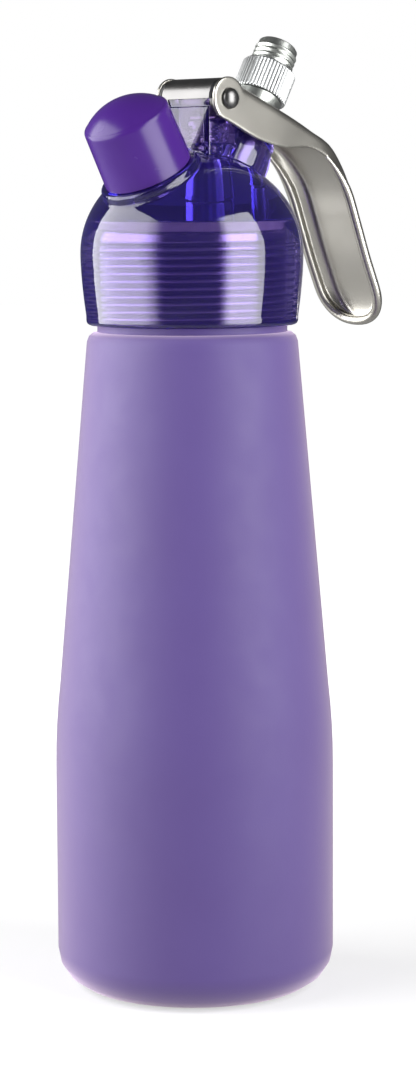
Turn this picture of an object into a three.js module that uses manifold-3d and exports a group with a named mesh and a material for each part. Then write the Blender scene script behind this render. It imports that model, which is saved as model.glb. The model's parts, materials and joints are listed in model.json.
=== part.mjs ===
// Whipped cream dispenser: a coated aluminium bottle with a screw-on moulded head.
// Millimetres, +Z up. The origin is the centre of the bottle's base. The capped nozzle leans
// toward -X, the gas inlet leans toward +X, and the squeeze lever turns about a rivet along Y.
import * as THREE from 'three';
import { mergeVertices } from 'three/addons/utils/BufferGeometryUtils.js';
import Module from 'manifold-3d';

const wasm = await Module();
wasm.setup();

// Fits shared by all pieces
const seatGap = 0.3;            // between pieces that touch
const screwGap = 0.4;           // between a male and a female thread's envelope
const overrun = 2;              // how far a cut runs past what it cuts
const weldDistance = 0.0005;    // vertices closer than this are one vertex

// Bottle
const bodyRadius = 40;
const baseCorner = 10.5;        // radius where the wall meets the base
const wallHeight = 72;          // straight part of the body, from the base
const coneHeight = 112;         // from there to the shoulder
const coneTopRadius = 30.2;
const coneBlendShare = 0.4;     // of the body's radius: how far the wall bends into the cone
const shoulderHeight = 4.8;
const neckRadius = 27;          // crest of the screw neck
const neckHeight = 27.8;
const neckWall = 2;
const threadPitch = 2.1;        // rise of the head for one turn
const threadDepth = 0.7;
const threadRunout = 2.2;       // plain neck at each end of the thread
const threadCrestShare = 0.5;   // of the pitch: from the thread's root up to its crest
const bottleWall = 1.3;
const baseThick = 2.4;          // flat underside

// Head skirt and dome
const skirtClearance = 1.9;     // height of the skirt's lower edge over the shoulder
const skirtWall = 2.7;
const skirtFlare = 1.5;         // how much wider the skirt is at the dome's foot
const skirtHeight = 20.3;
const skirtEdge = 1.3;          // rounded lower edge
const domeHeight = 28;
const gasketThickness = 2.6;
const gasketWidth = 2.4;

// Nozzle side
const nozzleTilt = -30;         // degrees about Y, from vertical
const nozzleX = -17.07;         // where the nozzle's axis crosses the boss's face
const nozzleRise = -5;          // of that point, over the dome's crown
const spigotRadius = 6.2;
const spigotLength = 8;
const fittingBore = 3.2;
const fittingFlange = 9.6;
const fittingFlangeThick = 1.6;
const shankRadius = 7.2;
const shankLength = 9;
const oRingSection = 1.1;       // diameter of the O-rings' cord
const groovePitchShare = 2.2;   // of that cord: from one groove of the stem to the next
const tipWasherThick = 1;
const tipCollarWall = 3.2;
const tipCollarHeight = 4.6;
const tipHeight = 16.2;         // whole tip, collar included
const tipMouth = 2.6;           // bore at the tip's teeth
const tipWall = 1;
const tipToothDepth = 5;
const tipToothCount = 8;
const tipToothShare = 0.62;     // of a tooth's width: the notch beside it
const tipNotchShare = 0.7;      // of the tip's wall: how far a notch stops short of the bore
const tipGripCount = 12;
const tipGripShare = 0.4;       // of the grip grooves' radius: how far their axes stand out
const capRoom = 1.5;            // between the tip's collar and the cap's wall
const capWall = 1.4;
const capDraft = 0.3;           // the cap narrows by this toward its dome
const capStraight = 16.6;
const capEdge = 0.7;            // rounding where the wall meets the crown
const capCrown = 5.4;
const capRibCount = 6;
const capRibWidth = 1.4;
const saucerLip = 1.7;          // how far the boss's face stands out round the cap
const bossDepth = 14;

// Valve, on a vertical axis just behind the rivet
const valveOffset = 1;          // from the rivet's axis, toward the inlet
const stemRadius = 2.5;
const stemNeckRadius = 1.4;
const buttonRadius = 3.6;
const buttonThick = 1.4;
const stemTravelRoom = 2.4;     // free height under the stem's shoulder
const springWire = 0.8;
const springTurns = 5;
const springLength = 7.4;
const springMeanRadius = 3.1;
const boreLength = 6.2;         // sealed bore of the stem
const chamberHeight = 3;
const guideRadius = 4.5;
const guideHeight = 9.6;
const guideBore = 2.7;
const guideFluteCount = 16;
const guideFluteRadius = 0.35;
const guideFlangeRadius = 6.6;
const guideFlangeThick = 1.6;
const guideGasketThick = 0.9;
const sealRadius = 4.2;
const sealThick = 1.5;
const backingThick = 1;
const backingRadius = 3.8;
const nutThick = 2;
const nutRadius = 3.2;
const nutSides = 6;
const channelRadius = 1.9;

// Tower, rivet and saddle
const rivetX = 3.4;
const rivetRise = 15;           // over the dome's crown
const rivetRadius = 2;
const rivetHeadRadius = 2.95;
const rivetHeadHeight = 1.9;
const towerHalfWidth = 8;
const towerRise = 12.6;         // from the dome's crown to the shoulder under the lugs
const lugRadius = 4.4;
const towerDepth = 14.4;        // front face to rear face
const towerWall = 1.3;
const towerSlope = 3.8;         // the top falls by this behind the lugs
const pocketHalfWidth = 5;
const pocketRise = 2.2;         // pocket floor over the dome's crown
const pocketCorner = 1;
const saddleSheet = 1.1;
const washerThick = 0.8;
const washerRadius = 4.6;

// Lever
const leverSheet = 1.1;
const leverReach = 66.5;        // rivet to the handle's end, along X
const leverDrop = 66;           // rivet to the handle's rim end, down
const noseRadius = 6.1;
const cheekDepth = 11.6;        // depth of the channel beside the rivet
const trayDepth = 4.4;          // depth of the dished handle
const trayRim = 11.9;           // half width of the handle at its rim
const trayFloor = 9;            // half width of its floor
const trayEnd = 13;             // length of its rounded end
const floorCorner = 2.6;        // rounding between the walls and the floor
const cornerShare = 0.3;        // of that rounding: how far its middle point stands in
const endPower = 2.4;           // squareness of the handle's end; 2 is an ellipse
const closedHalf = 0.01;        // half width left where the end closes
const beadRadius = 1.45;        // rolled edge
const beadStartShare = 0.44;    // of the web's line: where the edge starts to roll
const beadGrowthShare = 0.11;   // of the bead's length: over which it grows at each end
const beadPower = 2.2;          // squareness of the bead's line round the end
const webSlotFront = 11.1;      // from the rivet, along X
const webSlotRear = 33;
const webSlotMargin = 1;        // web left beside each cheek
const slotCornerShare = 0.8;    // of the slot's half width
const tongueFront = 6.5;        // inner face of the tongue, from the rivet
const tongueHalfWidth = 4.4;
const webFallShare = 0.4;       // fall of the web over its first stretch, per length
const footDrop = 5.7;           // sole of the tongue below the rivet
const footToe = 0.6;            // front of the sole, from the rivet along X

// Gas inlet
const inletTilt = 30;           // degrees about Y, from vertical
const inletX = 32.2;            // centre of the knurled collar's top
const inletRise = 24.6;         // over the dome's crown
const knurlRadius = 8;
const knurlLength = 9.8;
const knurlCount = 48;
const knurlDepth = 0.35;
const knurlChamfer = 0.9;
const studRadius = 6.3;
const studRise = 7.2;           // thread above the collar
const studPitch = 1.5;
const studThreadDepth = 0.45;
const studThreadShares = [0.5, 0.85, 1, 1.35];  // of the pitch: root, crest, crest, root
const studNeck = 7;
const studNeckLength = 9;
const studFlange = 8.2;
const studFlangeThick = 2;
const studShank = 5.2;
const studShankLength = 12;
const gasBore = 1.4;
const socketRadius = 4.4;
const socketDepth = 13;
const chargerSealThick = 1.5;
const pinBaseThick = 2.4;
const pinSpike = 5;
const pinSpikeRadius = 0.9;
const pinPointShare = 0.75;     // of the spike: where its point starts
const checkRadius = 2.6;
const checkLength = 4;
const inletSealThick = 0.8;
const inletBossWall = 4.1;      // wall of the boss round the stud's shank
const inletBossDraft = 0.7;
const inletBossDepth = 20;

// Facet counts
const wideSides = 44;
const midSides = 24;
const smallSides = 16;
const arcSteps = 4;
const edgeSteps = 2;
const domeSteps = 10;
const ringSides = 5;            // round an O-ring's cord
const wireSides = 5;            // round the spring's wire
const springSteps = 8;          // in one turn of the spring
const leverSteps = 24;
const beadSteps = 44;
const beadSides = 8;
const beadRimPoints = 16;       // points that guide the bead along each rim
const beadEndPoints = 9;        // and round the end
const endShares = [0.25, 0.5, 0.7, 0.85, 0.95, 1];  // rings that close the handle's end

const turn = Math.PI * 2;
const quarter = Math.PI / 2;
const radians = THREE.MathUtils.degToRad;

// A closed BufferGeometry becomes a solid; an inside-out one is turned round first.
function solid(geometry) {
  const bare = geometry.clone();
  bare.deleteAttribute('normal');
  bare.deleteAttribute('uv');
  const merged = mergeVertices(bare, weldDistance);
  const place = merged.attributes.position;
  const corners = [];
  for (let i = 0; i < merged.index.count; i += 3) {
    const [a, b, c] = [0, 1, 2].map((k) => merged.index.getX(i + k));
    if (a !== b && b !== c && c !== a) corners.push([a, b, c]);
  }
  const at = (i) => new THREE.Vector3().fromBufferAttribute(place, i);
  let volume = 0;
  for (const [a, b, c] of corners) volume += at(a).dot(at(b).cross(at(c)));
  const facing = volume < 0 ? corners.map(([a, b, c]) => [a, c, b]) : corners;
  return new wasm.Manifold(new wasm.Mesh({
    numProp: 3,
    vertProperties: new Float32Array(place.array),
    triVerts: new Uint32Array(facing.flat()),
  }));
}

function toGeometry(body) {
  const mesh = body.getMesh();
  const geometry = new THREE.BufferGeometry();
  geometry.setAttribute('position', new THREE.BufferAttribute(mesh.vertProperties, 3));
  geometry.setIndex(new THREE.BufferAttribute(mesh.triVerts, 1));
  geometry.computeVertexNormals();
  return geometry;
}

// Revolves [radius, height] points about Z.
function revolved(profile, sides = smallSides) {
  const points = profile.map(([r, z]) => new THREE.Vector2(r, z));
  return new THREE.LatheGeometry(points, sides).rotateX(quarter);
}

// Sweeps an outline round Z that may change with the place round the axis, in shares of a turn.
function swept(outlineAt, sides) {
  const columns = Array.from({ length: sides + 1 }, (_, j) => outlineAt(j / sides).map(([r, z]) => [
    r * Math.cos(j % sides / sides * turn), r * Math.sin(j % sides / sides * turn), z]));
  const count = columns[0].length;
  const index = [];
  for (let j = 0; j < sides; j += 1) {
    for (let i = 0; i + 1 < count; i += 1) {
      const at = j * count + i;
      index.push(at, at + count, at + 1, at + 1, at + count, at + count + 1);
    }
  }
  const geometry = new THREE.BufferGeometry();
  geometry.setAttribute('position', new THREE.Float32BufferAttribute(columns.flat(2), 3));
  geometry.setIndex(index);
  return geometry;
}

// A ring or tube: inner and outer radius between two heights, as a closed profile.
function ringProfile(inner, outer, low, high) {
  return [[inner, low], [outer, low], [outer, high], [inner, high], [inner, low]];
}

function rod(radius, low, high, sides = smallSides) {
  return revolved([[0, low], [radius, low], [radius, high], [0, high]], sides);
}

// Points of an arc about (r, z), in [radius, height] form, angles in quarter turns from +r to +z.
function arc(r, z, size, from, to, steps = arcSteps) {
  return Array.from({ length: steps + 1 }, (_, i) => {
    const angle = (from + (to - from) * i / steps) * quarter;
    return [r + size * Math.cos(angle), z + size * Math.sin(angle)];
  });
}

function bend(start, control, end, steps = arcSteps) {
  const curve = new THREE.QuadraticBezierCurve(
    new THREE.Vector2(...start), new THREE.Vector2(...control), new THREE.Vector2(...end));
  return curve.getPoints(steps).map((p) => [p.x, p.y]);
}

// Extrudes an outline of [x, z] points along Y, centred on the plane Y = 0.
function acrossY(outline, halfWidth) {
  const shape = new THREE.Shape(outline.map(([x, z]) => new THREE.Vector2(x, z)));
  return new THREE.ExtrudeGeometry(shape, { depth: 2 * halfWidth, bevelEnabled: false })
    .rotateX(quarter).translate(0, halfWidth, 0);
}

function rodAlongY(x, z, radius, halfLength, sides = smallSides) {
  return rod(radius, -halfLength, halfLength, sides).rotateX(quarter).translate(x, 0, z);
}

// An upright slot with rounded corners, between two places along X and two heights
function roundedSlot(front, rear, half, corner, low, high, steps) {
  const outline = new THREE.Shape();
  outline.moveTo(front + corner, -half);
  outline.lineTo(rear - corner, -half);
  outline.quadraticCurveTo(rear, -half, rear, corner - half);
  outline.lineTo(rear, half - corner);
  outline.quadraticCurveTo(rear, half, rear - corner, half);
  outline.lineTo(front + corner, half);
  outline.quadraticCurveTo(front, half, front, half - corner);
  outline.lineTo(front, corner - half);
  outline.quadraticCurveTo(front, -half, front + corner, -half);
  return new THREE.ExtrudeGeometry(outline, {
    depth: high - low, bevelEnabled: false, curveSegments: steps,
  }).translate(0, 0, low);
}

function block(low, high) {
  const size = high.map((v, i) => v - low[i]);
  const middle = high.map((v, i) => (v + low[i]) / 2);
  return new THREE.BoxGeometry(...size).translate(...middle);
}

// Joins rings of equal point counts into one closed skin with flat ends.
function lofted(rings) {
  const count = rings[0].length;
  const positions = rings.flat().flatMap((p) => p.toArray());
  const index = [];
  for (let i = 0; i + 1 < rings.length; i += 1) {
    for (let j = 0; j < count; j += 1) {
      const [a, b] = [i * count + j, i * count + (j + 1) % count];
      index.push(a, b, a + count, b, b + count, a + count);
    }
  }
  const last = (rings.length - 1) * count;
  for (let j = 1; j + 1 < count; j += 1) {
    index.push(0, j + 1, j, last, last + j, last + j + 1);
  }
  const geometry = new THREE.BufferGeometry();
  geometry.setAttribute('position', new THREE.Float32BufferAttribute(positions, 3));
  geometry.setIndex(index);
  return geometry;
}

function union(...geometries) {
  return geometries.map(solid).reduce((whole, next) => whole.add(next));
}

function minus(body, ...geometries) {
  return geometries.map(solid).reduce((whole, next) => whole.subtract(next), body);
}

const model = new THREE.Group();

// A named mesh in the given group; the colour, roughness and metalness are its own.
function piece(name, shape, colour, roughness, metalness, group = model) {
  const body = shape instanceof THREE.BufferGeometry ? solid(shape) : shape;
  const material = new THREE.MeshStandardMaterial({ color: colour, roughness, metalness });
  const mesh = new THREE.Mesh(toGeometry(body), material);
  mesh.name = name;
  group.add(mesh);
  return mesh;
}

// Heights that follow from the sizes above
const shoulderZ = wallHeight + coneHeight;
const neckFootZ = shoulderZ + shoulderHeight;
const neckTopZ = neckFootZ + neckHeight;
const ceilingZ = neckTopZ + gasketThickness + 2 * seatGap;
const skirtBottomZ = neckFootZ + skirtClearance;
const domeFootZ = skirtBottomZ + skirtHeight;
const crownZ = domeFootZ + domeHeight;
const nozzleZ = crownZ + nozzleRise;
const rivetZ = crownZ + rivetRise;
const inletZ = crownZ + inletRise;
const headBore = neckRadius + screwGap;
const skirtRadius = headBore + skirtWall;
const domeRadius = skirtRadius + skirtFlare;

// Bottle: straight wall, blended cone, rounded shoulder and screw neck
function bottleSide(inset, steps) {
  const slope = (bodyRadius - coneTopRadius) / coneHeight;
  const blend = bodyRadius * coneBlendShare;
  const wallTop = [bodyRadius - inset, wallHeight - blend / 2];
  const coneFoot = [bodyRadius - inset - slope * blend, wallHeight + blend];
  const shoulder = [coneTopRadius - inset, shoulderZ];
  return [
    ...arc(bodyRadius - baseCorner, baseCorner, baseCorner - inset, -1, 0, steps),
    ...bend(wallTop, [bodyRadius - inset, wallHeight + blend / 4], coneFoot, steps),
    ...bend(shoulder, [coneTopRadius - inset, neckFootZ - inset],
      [neckRadius - inset, neckFootZ - inset], steps),
  ];
}

// The screw neck's outline at one place round the axis: a helical groove between two plain ends.
// Over a full turn it rises by one pitch, so the last outline meets the first.
function neckOutline(aroundShare) {
  const [low, high] = [neckFootZ + threadRunout, neckTopZ - threadRunout];
  const turns = Math.ceil((high - low) / threadPitch);
  const points = [];
  for (let i = -1; i <= turns; i += 1) {
    const root = low + (i + aroundShare) * threadPitch;
    const crest = root + threadPitch * threadCrestShare;
    points.push([root > low && root < high ? neckRadius - threadDepth : neckRadius, root]);
    points.push([neckRadius, crest]);
  }
  return [[neckRadius, low], ...points.map(([r, z]) => [r, THREE.MathUtils.clamp(z, low, high)])];
}

function bottleShape() {
  const neckBore = neckRadius - neckWall;
  const inside = bottleSide(bottleWall, arcSteps / 2)
    .filter(([r, z]) => r > neckBore && z > baseThick).reverse();
  const lip = neckWall / 4;
  return swept((aroundShare) => [
    [0, 0],
    ...bottleSide(0, arcSteps),
    ...neckOutline(aroundShare),
    [neckRadius, neckTopZ - lip],
    [neckRadius - lip, neckTopZ],
    [neckBore + lip, neckTopZ],
    [neckBore, neckTopZ - lip],
    [neckBore, neckFootZ - bottleWall - shoulderHeight / 4],
    ...inside,
    [bodyRadius - baseCorner, baseThick],
    [0, baseThick],
  ], wideSides);
}

piece('bottle', bottleShape(), 0x8f78b8, 0.6, 0.1);

piece('head_gasket', revolved(
  ringProfile(neckRadius - gasketWidth, neckRadius, neckTopZ + seatGap, ceilingZ - seatGap),
  midSides), 0xe8e4dc, 0.7, 0);

// Places along the valve's axis, from the tower's pocket down to the stem's end
const valveX = rivetX + valveOffset;
const soleZ = rivetZ - footDrop;
const stemTopZ = soleZ - seatGap;
const buttonUnderZ = stemTopZ - buttonThick;
const springSeatZ = buttonUnderZ - springLength - 2 * seatGap;
const boreFootZ = springSeatZ - boreLength;
const chamberFootZ = boreFootZ - chamberHeight;
const guideTopZ = chamberFootZ - seatGap;
const flangeTopZ = ceilingZ - guideGasketThick - 2 * seatGap;
const flangeUnderZ = flangeTopZ - guideFlangeThick;
const sealTopZ = flangeUnderZ - seatGap;
const backingTopZ = sealTopZ - sealThick - seatGap;
const nutTopZ = backingTopZ - backingThick - seatGap;
const nutUnderZ = nutTopZ - nutThick;
const stemBore = stemRadius + oRingSection / 2 + seatGap / 2;
const grooveRadius = stemBore - oRingSection - 2 * seatGap;
const pocketFloorZ = crownZ + pocketRise;

// Frames of the two leaning axes: heights in them run outward along the axis
const nozzleFrame = new THREE.Group();
nozzleFrame.position.set(nozzleX, 0, nozzleZ);
nozzleFrame.rotation.y = radians(nozzleTilt);
const inletFrame = new THREE.Group();
inletFrame.position.set(inletX, 0, inletZ);
inletFrame.rotation.y = radians(inletTilt);
model.add(nozzleFrame, inletFrame);

function placedIn(frame, geometry) {
  frame.updateMatrix();
  return geometry.applyMatrix4(frame.matrix);
}

// Sizes of the tip, the cap and the boss follow the spigot outward
const tipBore = spigotRadius + screwGap;
const tipCollar = tipBore + tipCollarWall;
const capInner = tipCollar + capRoom;
const capOuter = capInner + capWall;
const saucerRadius = capOuter + saucerLip;
const outletSocket = shankRadius + screwGap;
const flangeTop = fittingFlangeThick + seatGap;
const tipFoot = flangeTop + tipWasherThick + seatGap;

// Places along the inlet's axis, zero at the collar's top
const neckTop = -knurlLength - seatGap;
const flangeHigh = neckTop - studNeckLength;
const shankTop = flangeHigh - studFlangeThick;
const inletBossTop = shankTop - inletSealThick - 2 * seatGap;
const shankFoot = shankTop - studShankLength;
const inletSocket = studShank + screwGap;
const inletBossRadius = inletSocket + inletBossWall;
const bossFloor = shankFoot - seatGap;

// Head: skirt and dome revolved, then the bosses and the tower added and the passages cut
function domeShape() {
  const edge = arc(skirtRadius - skirtEdge, skirtBottomZ + skirtEdge, skirtEdge, -1, 0, edgeSteps);
  const flare = bend([skirtRadius, skirtBottomZ + 2 * skirtEdge],
    [domeRadius, domeFootZ - skirtHeight / 3], [domeRadius, domeFootZ]);
  const dome = Array.from({ length: domeSteps }, (_, i) => {
    const angle = (i + 1) / domeSteps * quarter;
    return [domeRadius * Math.cos(angle), domeFootZ + domeHeight * Math.sin(angle)];
  });
  dome[dome.length - 1][0] = 0;
  return revolved([
    [0, ceilingZ], [headBore, ceilingZ], [headBore, skirtBottomZ + skirtEdge],
    [headBore + skirtEdge / 2, skirtBottomZ], ...edge, ...flare, ...dome,
  ], wideSides);
}

function nozzleBoss() {
  const edge = saucerLip / 2;
  return placedIn(nozzleFrame, revolved([
    [0, -bossDepth], [saucerRadius - saucerLip, -bossDepth],
    [saucerRadius, -seatGap - 3 * edge],
    ...arc(saucerRadius - edge, -seatGap - edge, edge, 0, 1, edgeSteps),
    [0, -seatGap],
  ], midSides));
}

function inletBoss() {
  const edge = inletBossWall / 4;
  return placedIn(inletFrame, revolved([
    [0, inletBossTop - inletBossDepth],
    [inletBossRadius + inletBossDraft, inletBossTop - inletBossDepth],
    [inletBossRadius + inletBossDraft, inletBossTop - inletBossDepth / 3],
    [inletBossRadius, inletBossTop - edge * 3],
    [inletBossRadius, inletBossTop - edge],
    [inletBossRadius - edge, inletBossTop],
    [0, inletBossTop],
  ], midSides));
}

function towerShape() {
  const front = rivetX - lugRadius;
  const rear = front + towerDepth;
  const top = crownZ + towerRise;
  const behindLugs = rivetX + lugRadius;
  return acrossY([
    [front, ceilingZ + towerWall], [rear, ceilingZ + towerWall], [rear, top - towerSlope],
    [behindLugs, top], [front, top],
  ], towerHalfWidth);
}

function pocketCut() {
  const front = rivetX - lugRadius + towerWall;
  const rear = front + towerDepth - 2 * towerWall;
  return roundedSlot(front, rear, pocketHalfWidth, pocketCorner, pocketFloorZ,
    rivetZ + noseRadius + overrun, edgeSteps);
}

// A straight passage of one bore between two places in the plane Y = 0
function passage(from, to, radius) {
  const start = new THREE.Vector3(from[0], 0, from[1]);
  const end = new THREE.Vector3(to[0], 0, to[1]);
  const path = new THREE.LineCurve3(start, end);
  const ring = new THREE.Shape().absarc(0, 0, radius, 0, turn);
  return new THREE.ExtrudeGeometry(ring, {
    steps: 1, extrudePath: path, bevelEnabled: false, curveSegments: smallSides / 2,
  });
}

function headShape() {
  const body = union(domeShape(), nozzleBoss(), inletBoss(), towerShape(),
    rodAlongY(rivetX, rivetZ, lugRadius, towerHalfWidth, midSides));
  const onAxis = (geometry) => geometry.translate(valveX, 0, 0);
  const socketEnd = new THREE.Vector3(0, 0, -shankLength - seatGap);
  const outletFloor = socketEnd.applyMatrix4(nozzleFrame.matrix);
  const inletFloor = new THREE.Vector3(0, 0, bossFloor).applyMatrix4(inletFrame.matrix);
  return minus(body,
    rod(headBore, skirtBottomZ - overrun, ceilingZ, wideSides),
    pocketCut(),
    onAxis(rod(springMeanRadius + springWire, springSeatZ, pocketFloorZ + overrun)),
    onAxis(rod(stemBore, boreFootZ - overrun, springSeatZ + overrun)),
    onAxis(rod(guideRadius + seatGap, ceilingZ - overrun, boreFootZ)),
    placedIn(nozzleFrame, rod(outletSocket, -shankLength - seatGap, overrun)),
    placedIn(nozzleFrame, rod(capOuter + seatGap, 0, capStraight, midSides)),
    placedIn(inletFrame, rod(inletSocket, bossFloor, inletBossTop + overrun)),
    passage([valveX, boreFootZ - chamberHeight / 2],
      [outletFloor.x, outletFloor.z + channelRadius / 2], channelRadius),
    passage([inletFloor.x, inletFloor.z + inletSocket], [inletFloor.x, ceilingZ - overrun], gasBore),
    rodAlongY(rivetX, rivetZ, rivetRadius + seatGap, towerHalfWidth + overrun));
}

piece('head_shell', headShape(), 0x37289a, 0.12, 0);

// Valve pieces
function fluted(radius, depth, count, low, high, bore) {
  const outline = new THREE.Shape();
  for (let i = 0; i < count * 4; i += 1) {
    const r = i % 4 < 2 ? radius : radius - depth;
    const angle = i / (count * 4) * turn;
    if (i === 0) outline.moveTo(r, 0);
    else outline.lineTo(r * Math.cos(angle), r * Math.sin(angle));
  }
  outline.closePath();
  outline.holes.push(new THREE.Path().absarc(0, 0, bore, 0, turn, true));
  return new THREE.ExtrudeGeometry(outline, {
    depth: high - low, bevelEnabled: false, curveSegments: smallSides / 2,
  }).translate(0, 0, low);
}

const valveFrame = new THREE.Group();
valveFrame.position.x = valveX;
model.add(valveFrame);

piece('valve_guide', union(
  fluted(guideRadius, guideFluteRadius, guideFluteCount, flangeTopZ - seatGap, guideTopZ, guideBore),
  revolved(ringProfile(guideBore, guideFlangeRadius, flangeUnderZ, flangeTopZ), midSides),
), 0xd8d6e6, 0.4, 0, valveFrame);

piece('guide_gasket', revolved(ringProfile(
  guideRadius + 2 * seatGap, guideFlangeRadius, flangeTopZ + seatGap, ceilingZ - seatGap)),
0x2a2a2c, 0.8, 0, valveFrame);

const upperGrooveZ = springSeatZ - oRingSection;
const lowerGrooveZ = upperGrooveZ - groovePitchShare * oRingSection;
const stemShoulderZ = guideTopZ + stemTravelRoom;

function stemShape() {
  const half = oRingSection / 2 + seatGap;
  const chamfer = buttonThick / 4;
  const groove = (z) => [
    [stemRadius, z - half], [grooveRadius, z - half],
    [grooveRadius, z + half], [stemRadius, z + half],
  ];
  return revolved([
    [0, nutUnderZ - seatGap], [stemNeckRadius, nutUnderZ - seatGap],
    [stemNeckRadius, stemShoulderZ], [stemRadius, stemShoulderZ],
    ...groove(lowerGrooveZ), ...groove(upperGrooveZ),
    [stemRadius, buttonUnderZ], [buttonRadius, buttonUnderZ],
    [buttonRadius, stemTopZ - chamfer], [buttonRadius - chamfer, stemTopZ], [0, stemTopZ],
  ]);
}

piece('valve_stem', stemShape(), 0xc8c8cc, 0.3, 0.9, valveFrame);

function oRing(meanRadius, z, section = oRingSection) {
  return new THREE.TorusGeometry(meanRadius, section / 2, ringSides, smallSides).translate(0, 0, z);
}

const stemRingRadius = grooveRadius + seatGap + oRingSection / 2;
for (const [name, z] of [['stem_o_ring_upper', upperGrooveZ], ['stem_o_ring_lower', lowerGrooveZ]]) {
  piece(name, oRing(stemRingRadius, z), 0x1c1c1e, 0.7, 0, valveFrame);
}

const washerBore = stemNeckRadius + seatGap;
piece('valve_seal', revolved(ringProfile(washerBore, sealRadius, sealTopZ - sealThick, sealTopZ)),
  0x2a2a2c, 0.8, 0, valveFrame);
piece('seal_washer', revolved(
  ringProfile(washerBore, backingRadius, backingTopZ - backingThick, backingTopZ)),
0xc2c2c6, 0.3, 0.9, valveFrame);

function hexNut() {
  const outline = new THREE.Shape();
  for (let i = 0; i < nutSides; i += 1) {
    const angle = i / nutSides * turn;
    const corner = [nutRadius * Math.cos(angle), nutRadius * Math.sin(angle)];
    if (i === 0) outline.moveTo(...corner);
    else outline.lineTo(...corner);
  }
  outline.closePath();
  outline.holes.push(new THREE.Path().absarc(0, 0, washerBore, 0, turn, true));
  return new THREE.ExtrudeGeometry(outline, {
    depth: nutThick, bevelEnabled: false, curveSegments: smallSides / 2,
  }).translate(0, 0, nutUnderZ);
}

piece('stem_nut', hexNut(), 0xc2c2c6, 0.3, 0.9, valveFrame);

// Return spring: one unbroken helix between its seat and the stem's button
class Helix extends THREE.Curve {
  constructor(radius, turns, low, high) {
    super();
    Object.assign(this, { radius, turns, low, high });
  }

  getPoint(t, target = new THREE.Vector3()) {
    const angle = t * this.turns * turn;
    return target.set(this.radius * Math.cos(angle), this.radius * Math.sin(angle),
      this.low + (this.high - this.low) * t);
  }
}

const springLow = springSeatZ + seatGap + springWire / 2;
const springHigh = buttonUnderZ - seatGap - springWire / 2;
const wireSection = new THREE.Shape(Array.from({ length: wireSides }, (_, i) => new THREE.Vector2(
  springWire / 2 * Math.cos(i / wireSides * turn), springWire / 2 * Math.sin(i / wireSides * turn))));
const springCurve = new Helix(springMeanRadius, springTurns, springLow, springHigh);
piece('valve_spring', new THREE.ExtrudeGeometry(wireSection, {
  steps: springSteps * springTurns, extrudePath: springCurve, bevelEnabled: false,
}), 0xb8b8bc, 0.3, 0.9, valveFrame);

// The least gap between turns, measured on points of the wire's middle line
const springPoints = springCurve.getPoints(springSteps * springTurns);
let springGap = Infinity;
springPoints.forEach((p, i) => springPoints.slice(i + springSteps - 1).forEach((q) => {
  springGap = Math.min(springGap, p.distanceTo(q) - springWire);
}));
console.log(`valve spring: least gap between turns ${springGap.toFixed(2)} mm`);

// Saddle over the lugs, with a drilled cheek on each side of the tower
const bracketInner = towerHalfWidth + seatGap;
const bracketHalf = bracketInner + saddleSheet;
const saddleInner = lugRadius + seatGap;
const saddleOuter = saddleInner + saddleSheet;

function saddleShape() {
  const drum = union(rodAlongY(rivetX, rivetZ, saddleOuter, bracketHalf, midSides));
  const [reach, side] = [saddleOuter + overrun, bracketHalf + overrun];
  const lower = block([rivetX - reach, -side, rivetZ - reach], [rivetX + reach, side, rivetZ]);
  const arch = minus(drum, lower);
  const whole = arch.add(solid(rodAlongY(rivetX, rivetZ, lugRadius, bracketHalf, midSides)));
  return minus(whole,
    rodAlongY(rivetX, rivetZ, saddleInner, bracketInner, midSides),
    rodAlongY(rivetX, rivetZ, rivetRadius + seatGap, bracketHalf + overrun));
}

piece('pin_saddle', saddleShape(), 0xb9b8b0, 0.25, 0.95);

const leverInner = bracketHalf + washerThick + 2 * seatGap;
const leverHalf = leverInner + leverSheet;

const washerY = bracketHalf + seatGap + washerThick / 2;
for (const [name, y] of [['pivot_washer_left', -washerY], ['pivot_washer_right', washerY]]) {
  const washer = revolved(
    ringProfile(rivetRadius + seatGap, washerRadius, -washerThick / 2, washerThick / 2));
  piece(name, washer.rotateX(quarter).translate(rivetX, y, rivetZ), 0xd8d4c8, 0.5, 0);
}

function rivetShape() {
  const face = leverHalf + seatGap;
  const head = Array.from({ length: arcSteps + 1 }, (_, i) => {
    const angle = i / arcSteps * quarter;
    return [rivetHeadRadius * Math.cos(angle), face + rivetHeadHeight * Math.sin(angle)];
  });
  head[arcSteps][0] = 0;
  const half = [[rivetRadius, face], ...head];
  const mirrored = half.map(([r, y]) => [r, -y]).reverse();
  return revolved([...mirrored, ...half], midSides).rotateX(quarter).translate(rivetX, 0, rivetZ);
}

piece('lever_rivet', rivetShape(), 0xa8a49c, 0.25, 0.95);

// Lever. Its web follows this line, in shares of the reach and the drop from the rivet.
const webShares = [
  [0, -0.092], [0.11, -0.047], [0.22, -0.002], [0.33, 0.042], [0.44, 0.089], [0.535, 0.134],
  [0.65, 0.19], [0.738, 0.272], [0.806, 0.37], [0.862, 0.5], [0.925, 0.655], [0.978, 0.77],
  [1.026, 0.875], [1.068, 0.966],
];
// Depth of the channel along that line, from the cheeks to the dished handle
const depthShares = [1, 1, 1.03, 0.9, 0.6, 0.05, 0, 0, 0, 0, 0, 0, 0, 0];
// Stretch of the line over which the flat web narrows to the handle's floor
const fadeShares = [0.36, 0.62];

const webCurve = new THREE.CatmullRomCurve3(webShares.map(([x, z]) => new THREE.Vector3(
  rivetX + x * leverReach, 0, rivetZ - z * leverDrop)));
const webLength = webCurve.getLength();
const endShare = 1 - trayEnd / webLength;

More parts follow.
